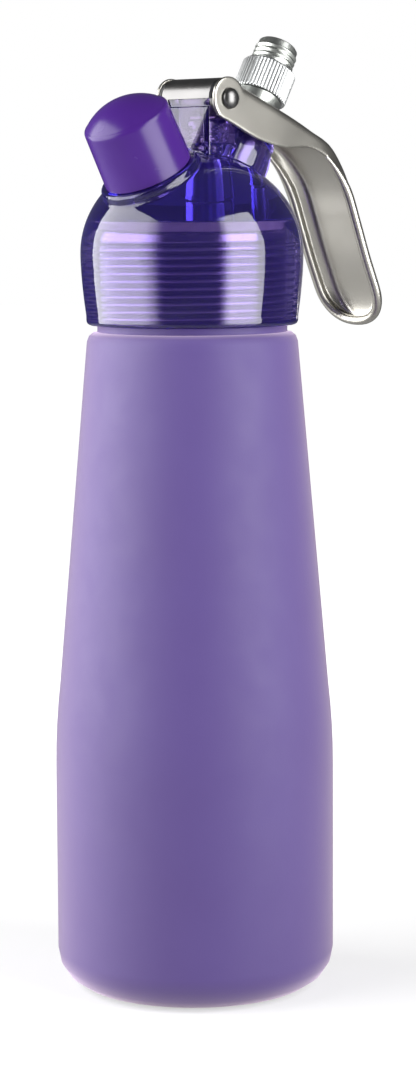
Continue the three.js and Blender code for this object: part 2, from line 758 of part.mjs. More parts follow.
function leverStation(t) {
  const along = webCurve.getTangentAt(t);
  const outward = new THREE.Vector3(-along.z, 0, along.x);
  const at = webCurve.getUtoTmapping(t) * (depthShares.length - 1);
  const i = Math.min(Math.floor(at), depthShares.length - 2);
  const share = THREE.MathUtils.lerp(depthShares[i], depthShares[i + 1], at - i);
  const depth = trayDepth + (cheekDepth - trayDepth) * share;
  const rim = webCurve.getPointAt(t).addScaledVector(outward, -depth);
  return { rim, outward, depth, cheek: 1 - THREE.MathUtils.smoothstep(t, ...fadeShares) };
}

// One section of the lever: an open channel whose side walls lean in toward the floor
function leverRing(t, inset, lift) {
  const { rim, outward, depth, cheek } = leverStation(t);
  const insetShare = inset / webLength;
  const late = Math.max(0, (t - endShare) / (1 - endShare - insetShare));
  const round = Math.sqrt(Math.max(0, 1 - Math.min(late, 1) ** endPower));
  const top = THREE.MathUtils.lerp(trayRim, leverHalf, cheek);
  const floor = THREE.MathUtils.lerp(trayFloor, leverHalf, cheek);
  const rimHalf = Math.max((top - inset) * round, closedHalf);
  const floorHalf = Math.max((floor - inset) * round, closedHalf / 2);
  const deep = Math.max((depth - inset) * Math.sqrt(round), closedHalf);
  const corner = Math.min(floorCorner, deep / 2, floorHalf / 2);
  const wall = new THREE.Vector2(floorHalf - rimHalf, deep).normalize();
  const half = [
    [rimHalf, -lift], [rimHalf, 0],
    [floorHalf - wall.x * corner, deep - wall.y * corner],
    [floorHalf - corner * cornerShare, deep - corner * cornerShare],
    [floorHalf - corner, deep],
  ].filter((_, i) => lift > 0 || i > 0);
  const section = [...half, ...half.map(([y, n]) => [-y, n]).reverse()];
  return section.map(([y, n]) => rim.clone().addScaledVector(outward, n).setY(y));
}

function leverLoft(inset, lift) {
  const last = 1 - inset / webLength;
  const body = Array.from({ length: leverSteps + 1 }, (_, i) => endShare * i / leverSteps);
  const end = endShares.map((share) => endShare + (last - endShare) * share);
  return lofted([...body, ...end].map((t) => leverRing(t, inset, lift)));
}

// Rolled edge round the handle's rim, growing out of the cheeks
function beadShape() {
  const half = trayRim - leverSheet / 2;
  const place = (t, y) => leverStation(t).rim.setY(y);
  const side = Array.from({ length: beadRimPoints }, (_, i) => (
    beadStartShare + (endShare - beadStartShare) * i / (beadRimPoints - 1)));
  const near = side.map((t) => place(t, -half));
  const far = side.map((t) => place(t, half)).reverse();
  const tipShare = 1 - leverSheet / webLength;
  const end = Array.from({ length: beadEndPoints }, (_, i) => {
    const angle = ((i + 1) / (beadEndPoints + 1) * 2 - 1) * quarter;
    const t = endShare + (tipShare - endShare) * Math.cos(angle) ** (2 / endPower);
    return place(t, half * Math.sign(angle) * Math.abs(Math.sin(angle)) ** (2 / beadPower));
  });
  const path = new THREE.CatmullRomCurve3([...near, ...end, ...far]);
  const up = leverStation(beadStartShare).outward.clone().setX(leverDrop).setZ(-leverDrop).normalize();
  const rings = Array.from({ length: beadSteps + 1 }, (_, i) => {
    const t = i / beadSteps;
    const middle = path.getPointAt(t);
    const ahead = path.getTangentAt(t);
    const across = new THREE.Vector3().crossVectors(ahead, up).normalize();
    const over = new THREE.Vector3().crossVectors(across, ahead);
    const grown = Math.min(1, Math.min(t, 1 - t) / beadGrowthShare);
    const radius = THREE.MathUtils.lerp(leverSheet / 2, beadRadius, grown);
    return Array.from({ length: beadSides }, (_, j) => middle.clone()
      .addScaledVector(across, radius * Math.cos(j / beadSides * turn))
      .addScaledVector(over, radius * Math.sin(j / beadSides * turn)));
  });
  return lofted(rings);
}

// Slot in the web that the gas inlet's neck passes through
function webSlot() {
  const half = leverInner - webSlotMargin;
  return roundedSlot(rivetX + webSlotFront, rivetX + webSlotRear, half, half * slotCornerShare,
    rivetZ - leverDrop / 3, rivetZ + noseRadius + overrun, arcSteps);
}

// Tongue folded down from the web's front edge; its sole presses the valve stem's button
function tongueShape() {
  const [inner, outer] = [rivetX + tongueFront, rivetX + tongueFront + leverSheet];
  const webUnder = rivetZ + noseRadius - tongueFront * webFallShare - leverSheet;
  const sole = rivetZ - footDrop;
  return acrossY([
    [rivetX + footToe, sole], [outer, sole], [outer, webUnder], [inner, webUnder],
    [inner, sole + leverSheet], [rivetX + footToe, sole + leverSheet],
  ], tongueHalfWidth);
}

function leverShape() {
  const shell = union(leverLoft(0, 0), rodAlongY(rivetX, rivetZ, noseRadius, leverHalf, midSides));
  const frontLow = [rivetX - noseRadius - overrun, -leverInner, rivetZ - cheekDepth - overrun];
  const frontHigh = [rivetX + tongueFront, leverInner, rivetZ + noseRadius + overrun];
  const hollow = minus(shell, leverLoft(leverSheet, overrun), block(frontLow, frontHigh),
    rodAlongY(rivetX, rivetZ, noseRadius, leverInner, midSides),
    webSlot(), rodAlongY(rivetX, rivetZ, rivetRadius + seatGap, leverHalf + overrun));
  return hollow.add(solid(tongueShape())).add(solid(beadShape()));
}

piece('lever', leverShape(), 0xb4b2a8, 0.3, 0.95);

// Outlet fitting, tip and cap, in the nozzle's frame
const outletRingRadius = outletSocket - seatGap - oRingSection / 2;
const outletGroove = outletRingRadius - oRingSection / 2 - seatGap;

function fittingShape() {
  const groove = -shankLength / 2;
  const half = oRingSection / 2 + seatGap;
  const chamfer = fittingFlangeThick / 4;
  return revolved([
    [fittingBore, -shankLength], [shankRadius, -shankLength],
    [shankRadius, groove - half], [outletGroove, groove - half],
    [outletGroove, groove + half], [shankRadius, groove + half],
    [shankRadius, 0], [fittingFlange, 0],
    [fittingFlange, fittingFlangeThick - chamfer], [fittingFlange - chamfer, fittingFlangeThick],
    [spigotRadius, fittingFlangeThick], [spigotRadius, spigotLength - chamfer],
    [spigotRadius - chamfer, spigotLength], [fittingBore, spigotLength], [fittingBore, -shankLength],
  ], midSides);
}

piece('outlet_fitting', fittingShape(), 0xc8c8c8, 0.3, 0.9, nozzleFrame);
piece('outlet_o_ring', oRing(outletRingRadius, -shankLength / 2), 0x1c1c1e, 0.7, 0, nozzleFrame);
piece('tip_washer', revolved(ringProfile(
  spigotRadius + seatGap, fittingFlange - seatGap, flangeTop, flangeTop + tipWasherThick)),
0xe4e0da, 0.7, 0, nozzleFrame);

function tipShape() {
  const top = tipFoot + tipHeight;
  const collarTop = tipFoot + tipCollarHeight;
  const threadTop = spigotLength + 2 * seatGap;
  const throat = tipBore - tipWall;
  const body = union(revolved([
    [tipBore, tipFoot], [tipCollar, tipFoot], [tipCollar, collarTop - tipWall],
    [tipCollar - tipWall, collarTop], [tipBore + 2 * tipWall, collarTop],
    [tipBore + tipWall, threadTop + tipWall],
    [tipMouth + tipWall, top], [tipMouth, top], [throat, threadTop + tipWall],
    [tipBore, threadTop], [tipBore, tipFoot],
  ], midSides));
  const grips = Array.from({ length: tipGripCount }, (_, i) => (
    rod(tipWall, tipFoot - overrun, collarTop + overrun, smallSides / 2)
      .translate(tipCollar + tipWall * tipGripShare, 0, 0).rotateZ(i / tipGripCount * turn)));
  const notchHalf = tipMouth * Math.PI / tipToothCount * tipToothShare;
  const notchY = tipMouth + tipBore / 2 - tipWall * tipNotchShare;
  const teeth = Array.from({ length: tipToothCount }, (_, i) => acrossY([
    [-notchHalf, top + overrun], [notchHalf, top + overrun], [notchHalf, top],
    [0, top - tipToothDepth], [-notchHalf, top],
  ], tipBore / 2).translate(0, notchY, 0).rotateZ(i / tipToothCount * turn));
  return minus(body, ...grips, ...teeth);
}

piece('decorating_tip', tipShape(), 0x6a3fae, 0.3, 0, nozzleFrame);

// Cap: drafted wall, shallow spherical crown, and inner ribs that grip the tip's collar
function capSkin(inset, foot) {
  const rim = capOuter - inset;
  const shoulder = rim - capDraft;
  const crown = capCrown * shoulder / (capOuter - capDraft);
  const radius = (shoulder ** 2 + crown ** 2) / (2 * crown);
  const spread = Math.asin(shoulder / radius);
  const steps = domeSteps - arcSteps;
  const dome = Array.from({ length: steps + 1 }, (_, i) => {
    const angle = spread * (1 - capEdge / shoulder) * (1 - i / steps);
    const fall = radius * (1 - Math.cos(angle));
    return [radius * Math.sin(angle), capStraight + crown - fall - inset];
  });
  dome[steps][0] = 0;
  const corner = [shoulder - capEdge / 4, capStraight - inset - capEdge / 4];
  const edgeFoot = [shoulder, capStraight - inset - capEdge];
  return [[0, foot], [rim, foot], [rim, 0], edgeFoot, corner, ...dome];
}

function capShape() {
  const shell = minus(union(revolved(capSkin(0, 0).filter((_, i) => i !== 2), midSides)),
    revolved(capSkin(capWall, -overrun), midSides));
  const ribInner = tipCollar + seatGap;
  const ribOuter = capInner + capWall / 2;
  const ribs = Array.from({ length: capRibCount }, (_, i) => (
    block([ribInner, -capRibWidth / 2, tipFoot], [ribOuter, capRibWidth / 2, capStraight / 2])
      .rotateZ((i + 0.5) / capRibCount * turn)));
  return ribs.map(solid).reduce((whole, rib) => whole.add(rib), shell);
}

piece('cap', capShape(), 0x5b2fa4, 0.2, 0, nozzleFrame);

// Gas inlet pieces, in the inlet's frame
const socketFoot = studRise - socketDepth;

function studShape() {
  const crest = studRadius;
  const root = studRadius - studThreadDepth;
  const turns = Math.floor((studRise - studPitch) / studPitch);
  const threads = Array.from({ length: turns }, (_, i) => studThreadShares.map((share, k) => (
    [k === 1 || k === 2 ? crest : root, seatGap + (i + share) * studPitch]))).flat();
  const pinFoot = socketFoot - pinBaseThick - seatGap;
  const checkFoot = pinFoot - checkLength - seatGap;
  return revolved([
    [gasBore, shankFoot], [studShank, shankFoot], [studShank, shankTop],
    [studFlange, shankTop], [studFlange, flangeHigh], [studNeck, flangeHigh],
    [studNeck, neckTop], [root, neckTop], [root, seatGap], ...threads,
    [root, studRise - studThreadDepth], [root - studThreadDepth, studRise],
    [socketRadius, studRise], [socketRadius, socketFoot],
    [checkRadius + 2 * seatGap, socketFoot], [checkRadius + 2 * seatGap, pinFoot],
    [checkRadius + seatGap, pinFoot], [checkRadius + seatGap, checkFoot],
    [gasBore, checkFoot], [gasBore, shankFoot],
  ], midSides);
}

piece('inlet_stud', studShape(), 0xb9beb9, 0.3, 0.95, inletFrame);

function collarShape() {
  const bore = studRadius - studThreadDepth + seatGap;
  const body = union(fluted(knurlRadius, knurlDepth, knurlCount, -knurlLength, 0, bore));
  const [inner, outer] = [bore - seatGap / 2, knurlRadius + 2 * overrun];
  const cone = revolved([
    [inner, overrun], [knurlRadius - knurlChamfer - overrun, overrun],
    [knurlRadius + overrun, -knurlChamfer - overrun], [outer, -knurlChamfer - overrun],
    [outer, 2 * overrun], [inner, 2 * overrun], [inner, overrun],
  ], midSides);
  return minus(body, cone);
}

piece('knurled_collar', collarShape(), 0xdfe2e2, 0.35, 0.9, inletFrame);

piece('inlet_seal', revolved(ringProfile(
  inletSocket, studFlange - seatGap, inletBossTop + seatGap, shankTop - seatGap)),
0x2a2a2c, 0.8, 0, inletFrame);

piece('charger_seal', revolved(ringProfile(
  pinSpikeRadius + 2 * seatGap, socketRadius - seatGap, socketFoot + seatGap,
  socketFoot + seatGap + chargerSealThick)), 0x2a2a2c, 0.8, 0, inletFrame);

piece('piercing_pin', revolved([
  [pinSpikeRadius / 2, socketFoot - pinBaseThick], [checkRadius + seatGap, socketFoot - pinBaseThick],
  [checkRadius + seatGap, socketFoot], [pinSpikeRadius, socketFoot],
  [pinSpikeRadius, socketFoot + pinSpike * pinPointShare], [pinSpikeRadius / 2, socketFoot + pinSpike],
  [pinSpikeRadius / 2, socketFoot - pinBaseThick],
]), 0xc8c8cc, 0.25, 0.95, inletFrame);

const checkTop = socketFoot - pinBaseThick - 2 * seatGap;
piece('check_valve', revolved([
  [0, checkTop - checkLength + 2 * seatGap], [gasBore + seatGap, checkTop - checkLength + 2 * seatGap],
  [checkRadius, checkTop - checkLength / 2], [checkRadius, checkTop], [0, checkTop],
]), 0x3a3a3c, 0.8, 0, inletFrame);

export default model;
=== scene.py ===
"""Whipped cream dispenser: finishes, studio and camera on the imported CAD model.

Metres, +Z up, in the CAD model's frame: the bottle stands on the origin, the capped nozzle leans
toward -X and the lever's handle hangs toward +X.
"""
import json
import math

import bmesh
import bpy
from mathutils import Matrix, Vector


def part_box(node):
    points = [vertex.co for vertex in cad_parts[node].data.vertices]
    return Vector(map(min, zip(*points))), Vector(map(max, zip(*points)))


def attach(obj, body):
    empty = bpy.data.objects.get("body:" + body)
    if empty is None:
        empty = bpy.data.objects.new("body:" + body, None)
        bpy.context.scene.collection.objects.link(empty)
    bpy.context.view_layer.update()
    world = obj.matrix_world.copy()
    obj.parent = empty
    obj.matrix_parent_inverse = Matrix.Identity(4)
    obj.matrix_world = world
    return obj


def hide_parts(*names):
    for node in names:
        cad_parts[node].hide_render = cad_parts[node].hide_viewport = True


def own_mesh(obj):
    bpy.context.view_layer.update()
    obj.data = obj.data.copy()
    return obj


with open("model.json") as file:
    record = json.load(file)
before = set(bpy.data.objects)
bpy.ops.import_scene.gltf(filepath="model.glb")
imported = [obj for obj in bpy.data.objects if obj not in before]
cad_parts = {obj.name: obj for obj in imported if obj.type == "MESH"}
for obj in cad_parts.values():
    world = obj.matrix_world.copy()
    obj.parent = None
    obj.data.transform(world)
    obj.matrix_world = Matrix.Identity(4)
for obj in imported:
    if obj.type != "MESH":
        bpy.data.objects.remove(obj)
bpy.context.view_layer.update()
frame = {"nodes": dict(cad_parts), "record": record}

MM = 0.001
SLOT_OF = {row["node"]: row["material_slot"] for row in frame["record"]["subparts"]}
BODY_OF = {node: body for body, nodes in frame["record"]["behaviour"]["bodies"].items()
           for node in nodes}

# Sizes that only the finish needs
CREASE = math.radians(32)        # sharper edges than this stay sharp
FINE_CREASE = math.radians(50)   # the same for the fine skins
SPIN_SIDES = 144                 # facets round the bottle
WELD = 0.002 * MM                # CAD vertices closer than this are one
MERGE = 0.001 * MM               # the same for the fine skins
FLAT = math.radians(0.5)         # faces that turn by less than this are joined
NEAR = 0.01 * MM                 # points this close to a plane or height lie on it
ON_AXIS = 1e-6                   # a smaller radius than this is a point
ROD_SIDES = 96                   # facets round the smaller turned shapes
THREAD_PITCH = 2.1 * MM          # the bottle's screw neck, as in the CAD model
THREAD_DEPTH = 0.7 * MM
THREAD_STEPS = 12                # points from one crest to the next
THREAD_SHARES = tuple((i / THREAD_STEPS, 0.5 + 0.5 * math.cos(i / THREAD_STEPS * math.tau))
                      for i in range(THREAD_STEPS))
THREAD_MARGIN = 2.2 * MM         # plain neck below and above the thread
NECK_LIP = 0.5 * MM              # rounding at the neck's mouth
BORE_THREAD = 0.12 * MM          # depth of the head's own thread, which runs in the neck's
NOISE_LOW = 0.3                  # noise values lie mostly between these two
NOISE_HIGH = 0.7
CLEAR_DENSITY = 62               # per metre, how fast the clear moulding takes up light
CLEAR_DEPTH = (0.22, 0.15, 0.80, 1)     # the light that it lets through
CLEAR_HAZE = (0.04, 0.01, 0.6, 1)       # the light that it scatters
HAZE_SHARE = 0.05
GROOVE_SHADE_RADII = (26.4 * MM, 26.85 * MM)  # painted shade in the thread's grooves: darkest below the first radius, none above the second
GROOVE_SHADE_TINTS = (0.1, 0.6)        # places on the neck's ramp from dark to light at those radii; the dark end is the grooves' painted shade
LATHE_GRAIN = (30, 30, 2500)     # per metre, so that the marks run round the neck
LATHE_MARKS = 0.2                # how much of the ramp the marks take


# Materials. Each one is built from nodes on object coordinates, which are the row frame's metres.

class Finish:
    """A Principled material and the few node patterns that the finishes share."""

    def __init__(self, name, color, metallic=0.0, roughness=0.5, **sockets):
        self.material = bpy.data.materials.new(name)
        self.material.use_nodes = True
        self.tree = self.material.node_tree
        self.shader = self.tree.nodes["Principled BSDF"]
        self.shader.inputs["Base Color"].default_value = (*color, 1)
        self.shader.inputs["Metallic"].default_value = metallic
        self.shader.inputs["Roughness"].default_value = roughness
        for socket, value in sockets.items():
            self.shader.inputs[socket.replace("_", " ")].default_value = value
        self.material.diffuse_color = (*color, 1)
        self.place = self.node("ShaderNodeTexCoord").outputs["Object"]

    def node(self, kind, **settings):
        node = self.tree.nodes.new(kind)
        for key, value in settings.items():
            setattr(node, key, value)
        return node

    def link(self, output, node, socket):
        self.tree.links.new(output, node.inputs[socket])

    def stretched(self, scale):
        """Object coordinates scaled, for grain that runs one way."""
        mapping = self.node("ShaderNodeMapping")
        mapping.inputs["Scale"].default_value = scale
        self.link(self.place, mapping, "Vector")
        return mapping.outputs["Vector"]

    def noise(self, size, detail=3.0, vector=None):
        """Noise whose features are about size metres across."""
        noise = self.node("ShaderNodeTexNoise")
        noise.inputs["Scale"].default_value = 1 / size
        noise.inputs["Detail"].default_value = detail
        self.link(vector or self.place, noise, "Vector")
        return noise.outputs["Fac"]

    def mapped(self, value, start, end, low, high, curve="LINEAR"):
        """Maps the values from start to end onto low..high."""
        mapped = self.node("ShaderNodeMapRange", interpolation_type=curve)
        limits = {"From Min": start, "From Max": end, "To Min": low, "To Max": high}
        for socket, limit in limits.items():
            mapped.inputs[socket].default_value = limit
        self.link(value, mapped, "Value")
        return mapped.outputs["Result"]

    def spread(self, value, low, high):
        """Maps a noise value's middle range onto low..high."""
        return self.mapped(value, NOISE_LOW, NOISE_HIGH, low, high)

    def tint(self, value, dark, light):
        """Base colour between two tints, driven by a noise value."""
        ramp = self.node("ShaderNodeValToRGB")
        places = zip(ramp.color_ramp.elements, (NOISE_LOW, NOISE_HIGH), (dark, light))
        for element, position, color in places:
            element.position = position
            element.color = (*color, 1)
        self.link(value, ramp, "Fac")
        self.link(ramp.outputs["Color"], self.shader, "Base Color")

    def rough(self, value, low, high):
        self.link(self.spread(value, low, high), self.shader, "Roughness")

    def bump(self, value, height, strength):
        bump = self.node("ShaderNodeBump")
        bump.inputs["Distance"].default_value = height
        bump.inputs["Strength"].default_value = strength
        self.link(value, bump, "Height")
        self.link(bump.outputs["Normal"], self.shader, "Normal")


def purple_coat():
    """Soft lilac-purple powder coat with a very fine orange-peel grain."""
    finish = Finish("purple_coat", (0.06, 0.032, 0.178), roughness=0.6, Sheen_Weight=1.0,
                    Sheen_Roughness=0.48, Sheen_Tint=(1, 0.82, 1, 1))
    finish.tint(finish.noise(28 * MM), (0.058, 0.03, 0.173), (0.062, 0.034, 0.183))
    finish.rough(finish.noise(9 * MM), 0.56, 0.64)
    finish.bump(finish.noise(0.45 * MM, 2), 0.03 * MM, 0.5)
    return finish.material


def tinted_clear():
    """Clear deep blue-violet moulding, glossy, with faint flow marks."""
    finish = Finish("tinted_clear", (0.46, 0.37, 0.58), roughness=0.03, IOR=1.49,
                    Transmission_Weight=0.99, Coat_Weight=0.25, Coat_Roughness=0.02)
    finish.tint(finish.noise(22 * MM), (0.445, 0.355, 0.565), (0.475, 0.385, 0.595))
    depth = finish.node("ShaderNodeVolumeAbsorption")
    depth.inputs["Color"].default_value = CLEAR_DEPTH
    depth.inputs["Density"].default_value = CLEAR_DENSITY
    output = finish.tree.nodes["Material Output"]
    finish.link(depth.outputs["Volume"], output, "Volume")
    haze = finish.node("ShaderNodeBsdfDiffuse")
    haze.inputs["Color"].default_value = CLEAR_HAZE
    cloudy = finish.node("ShaderNodeMixShader")
    cloudy.inputs[0].default_value = HAZE_SHARE
    finish.link(finish.shader.outputs["BSDF"], cloudy, 1)
    finish.link(haze.outputs["BSDF"], cloudy, 2)
    finish.link(cloudy.outputs["Shader"], output, "Surface")
    finish.rough(finish.noise(14 * MM), 0.02, 0.05)
    finish.bump(finish.noise(9 * MM, 1), 0.02 * MM, 0.15)
    return finish.material


def purple_plastic():
    """Glossy deep purple moulding."""
    finish = Finish("purple_plastic", (0.05, 0.013, 0.165), roughness=0.24, Specular_IOR_Level=0.33)
    finish.tint(finish.noise(16 * MM), (0.047, 0.012, 0.157), (0.053, 0.014, 0.173))
    finish.rough(finish.noise(8 * MM), 0.2, 0.28)
    finish.bump(finish.noise(2.5 * MM, 2), 0.02 * MM, 0.3)
    return finish.material


def satin_steel():
    """Pressed sheet steel, tumbled to an even satin."""
    finish = Finish("satin_steel", (0.46, 0.445, 0.405), metallic=1, roughness=0.3)
    finish.tint(finish.noise(20 * MM), (0.44, 0.425, 0.385), (0.48, 0.465, 0.425))
    finish.rough(finish.noise(12 * MM, 2), 0.28, 0.34)
    finish.bump(finish.noise(0.35 * MM, 3), 0.008 * MM, 0.4)
    return finish.material


def bright_steel():
    """Polished stainless steel with faint wiping marks."""
    finish = Finish("bright_steel", (0.17, 0.167, 0.165), metallic=1, roughness=0.32)
    finish.tint(finish.noise(8 * MM), (0.16, 0.157, 0.155), (0.18, 0.177, 0.175))
    finish.rough(finish.noise(4 * MM, 2), 0.29, 0.35)
    finish.bump(finish.noise(3 * MM, 2), 0.01 * MM, 0.4)
    return finish.material


def turned_steel():
    """Turned stainless steel with fine tool marks."""
    finish = Finish("steel", (0.54, 0.56, 0.53), metallic=1, roughness=0.34)
    finish.tint(finish.noise(4 * MM), (0.5, 0.52, 0.49), (0.57, 0.59, 0.56))
    finish.rough(finish.noise(0.9 * MM, 4), 0.28, 0.4)
    finish.bump(finish.noise(0.3 * MM, 2), 0.01 * MM, 0.5)
    return finish.material


def knurled_aluminium():
    """Bright anodised aluminium."""
    finish = Finish("knurled_aluminium", (0.5, 0.51, 0.51), metallic=1, roughness=0.42)
    finish.tint(finish.noise(3 * MM), (0.47, 0.48, 0.48), (0.53, 0.54, 0.54))
    finish.rough(finish.noise(0.8 * MM, 4), 0.36, 0.48)
    finish.bump(finish.noise(0.25 * MM, 2), 0.01 * MM, 0.5)
    return finish.material


def bare_aluminium():
    """The bottle's uncoated neck, with fine lathe marks round it and painted shade in its thread's
    grooves.
    """
    finish = Finish("bare_aluminium", (0.72, 0.71, 0.74), metallic=1, roughness=0.2)
    rings = finish.noise(1, 2, finish.stretched(LATHE_GRAIN))
    radius = finish.node("ShaderNodeVectorMath", operation="LENGTH")
    finish.link(finish.stretched((1, 1, 0)), radius, 0)
    # Painted shade: the base colour darkens toward the roots of the neck's thread; marks carries
    # the lathe marks plus this painted shade
    groove_shade = finish.mapped(radius.outputs["Value"], *GROOVE_SHADE_RADII, *GROOVE_SHADE_TINTS)
    marks = finish.node("ShaderNodeMath", operation="MULTIPLY_ADD")
    finish.link(rings, marks, 0)
    marks.inputs[1].default_value = LATHE_MARKS
    finish.link(groove_shade, marks, 2)
    finish.tint(marks.outputs[0], (0.1, 0.095, 0.12), (0.78, 0.77, 0.8))
    finish.rough(finish.noise(2 * MM, 4), 0.12, 0.2)
    finish.bump(rings, 0.006 * MM, 0.3)
    return finish.material


def natural_plastic():
    """Natural translucent moulding."""
    finish = Finish("natural_plastic", (0.72, 0.71, 0.78), roughness=0.35, Subsurface_Weight=0.2)
    finish.tint(finish.noise(6 * MM), (0.68, 0.67, 0.75), (0.76, 0.75, 0.81))
    finish.rough(finish.noise(2 * MM), 0.3, 0.42)
    finish.bump(finish.noise(0.6 * MM, 2), 0.01 * MM, 0.4)
    return finish.material


def rubber(name, dark, light):
    """Moulded rubber with a dusty, slightly uneven surface."""
    finish = Finish(name, dark, roughness=0.7)
    finish.tint(finish.noise(4 * MM), dark, light)
    finish.rough(finish.noise(1.5 * MM), 0.62, 0.78)
    finish.bump(finish.noise(0.4 * MM, 2), 0.02 * MM, 0.5)
    return finish.material


FINISHES = {
    "purple_coat": purple_coat(),
    "tinted_clear": tinted_clear(),
    "purple_plastic": purple_plastic(),
    "satin_steel": satin_steel(),
    "bright_steel": bright_steel(),
    "steel": turned_steel(),
    "knurled_aluminium": knurled_aluminium(),
    "natural_plastic": natural_plastic(),
    "bare_aluminium": bare_aluminium(),
    "white_seal": rubber("white_seal", (0.66, 0.63, 0.56), (0.74, 0.71, 0.64)),
    "black_rubber": rubber("black_rubber", (0.012, 0.012, 0.014), (0.022, 0.022, 0.025)),
}


# Pieces. Each shown piece stands for its CAD node and rides on the node's body.

def placed(name, data):
    """A new object in the scene."""
    piece = bpy.data.objects.new(name, data)
    bpy.context.scene.collection.objects.link(piece)
    return piece


def welded(node):
    """The node's mesh as a bmesh with its split vertices joined and flat regions in one face."""
    mesh = bmesh.new()
    mesh.from_mesh(frame["nodes"][node].data)
    bmesh.ops.remove_doubles(mesh, verts=mesh.verts, dist=WELD)
    bmesh.ops.dissolve_limit(mesh, angle_limit=FLAT, verts=mesh.verts, edges=mesh.edges)
    return mesh


def shown(node, mesh, crease=CREASE):
    """Puts the bmesh in the scene as the visible piece for a node, smooth between its creases."""
    data = bpy.data.meshes.new(node + "_surface")
    mesh.normal_update()
    mesh.to_mesh(data)
    mesh.free()
    data.polygons.foreach_set("use_smooth", [True] * len(data.polygons))
    data.set_sharp_from_angle(angle=crease)
    data.materials.append(FINISHES[SLOT_OF[node]])
    piece = placed(node + "_surface", data)
    weighted = piece.modifiers.new("weighted_normals", "WEIGHTED_NORMAL")
    weighted.keep_sharp = True
    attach(piece, BODY_OF[node])
    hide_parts(node)
    return piece


def outline(node):
    """A revolved node's outline: its closed loop of points in the half plane Y = 0, X > 0."""
    mesh = bmesh.new()
    mesh.from_mesh(frame["nodes"][node].data)
    bmesh.ops.remove_doubles(mesh, verts=mesh.verts, dist=WELD)
    on_plane = [v for v in mesh.verts if abs(v.co.y) < NEAR and v.co.x > -NEAR]
    # From the point on the axis at the bottom, then on round
    start = min(on_plane, key=lambda v: (round(v.co.x, 5), v.co.z))
    loop, last, point = [start.co.xz.copy()], None, start
    while True:
        steps = [e.other_vert(point) for e in point.link_edges]
        steps = [v for v in steps if v in on_plane and v is not last]
        if not steps or steps[0] is start:
            break
        ahead = min(steps, key=lambda v: (v.co - point.co).length)
        last, point = point, ahead
        loop.append(point.co.xz.copy())
    mesh.free()
    return loop


def threaded_bottle():
    """The bottle from its CAD outline, with a crisper thread on the same helix round its neck.
    Gives its mesh, and the heights where the thread starts and ends."""
    points = outline("bottle")
    top = max(z for _, z in points)
    crest = max(r for r, z in points if z > top - THREAD_PITCH)
    on_neck = [i for i, (r, z) in enumerate(points)
               if z > top / 2 and abs(r - crest) < THREAD_DEPTH + NEAR]
    foot = points[on_neck[0]][1]
    crown = max(points[i][1] for i in on_neck if abs(points[i][0] - crest) < NEAR)
    low, high = foot + THREAD_MARGIN, crown + NECK_LIP - THREAD_MARGIN
    after = next(i for i in on_neck if abs(points[i][1] - crown) < NEAR)
    below, above = points[:on_neck[0] + 1], points[after:]
    turns = math.ceil((high - low) / THREAD_PITCH)

    def column(around):
        """The outline at a share of the way round the bottle."""
        rows = [(crest, low)]
        for i in range(-1, turns + 1):
            for share, cut in THREAD_SHARES:
                z = low + (i + around + share) * THREAD_PITCH
                radius = crest - cut * THREAD_DEPTH if low < z < high else crest
                rows.append((radius, min(max(z, low), high)))
        rows.append((crest, high))
        angle = around * math.tau
        return [(r * math.cos(angle), r * math.sin(angle), z) for r, z in (*below, *rows, *above)]

    mesh = bmesh.new()
    columns = [[mesh.verts.new(p) for p in column(side / SPIN_SIDES)] for side in range(SPIN_SIDES)]
    first = len(below) + 1
    last = first + (turns + 2) * THREAD_STEPS
    for side, left in enumerate(columns):
        right = columns[(side + 1) % SPIN_SIDES]
        if side == SPIN_SIDES - 1:
            # Once round, the helix has climbed by one pitch
            right = (right[:first] + right[first + THREAD_STEPS:last]
                     + [right[last]] * THREAD_STEPS + right[last:])
        for i in range(len(left) - 1):
            mesh.faces.new(list(dict.fromkeys((left[i], right[i], right[i + 1], left[i + 1]))))
    bmesh.ops.remove_doubles(mesh, verts=mesh.verts, dist=MERGE)
    bmesh.ops.recalc_face_normals(mesh, faces=mesh.faces)
    return mesh, (low, high)


BOTTLE_MESH, NECK_THREAD = threaded_bottle()


# Fine meshes are built in millimetres and scaled when they are put in the scene.

def scratch(mesh):
    """A working object for a bmesh."""
    data = bpy.data.meshes.new("scratch")
    bmesh.ops.recalc_face_normals(mesh, faces=mesh.faces)
    mesh.to_mesh(data)
    mesh.free()
    return placed("scratch", data)


def settled(piece):
    """Applies the working object's modifiers."""
    graph = bpy.context.evaluated_depsgraph_get()
    data = bpy.data.meshes.new_from_object(piece.evaluated_get(graph))
    piece.modifiers.clear()
    piece.data = data
    return piece


def combined(base, tool, operation):
    """The working object base after a boolean with the bmesh tool."""
    other = scratch(tool)
    step = base.modifiers.new("boolean", "BOOLEAN")
    step.object = other
    step.operation = operation
    step.solver = "EXACT"
    settled(base)
    bpy.data.objects.remove(other)
    return base


def rounded_off(piece, voxel):
    """The working object remeshed in voxels and smoothed, which rounds all its edges."""
    remesh = piece.modifiers.new("remesh", "REMESH")
    remesh.mode = "VOXEL"
    remesh.voxel_size = voxel
    smooth = piece.modifiers.new("smooth", "SMOOTH")
    smooth.factor = SMOOTH_FACTOR
    smooth.iterations = SMOOTH_PASSES
    return settled(piece)


def finished(node, piece):
    """Turns the working object into the shown piece for a node."""
    mesh = bmesh.new()
    mesh.from_mesh(piece.data)
    bpy.data.objects.remove(piece)
    bmesh.ops.scale(mesh, vec=(MM, MM, MM), verts=mesh.verts)
    bmesh.ops.remove_doubles(mesh, verts=mesh.verts, dist=MERGE)
    return shown(node, mesh, FINE_CREASE)


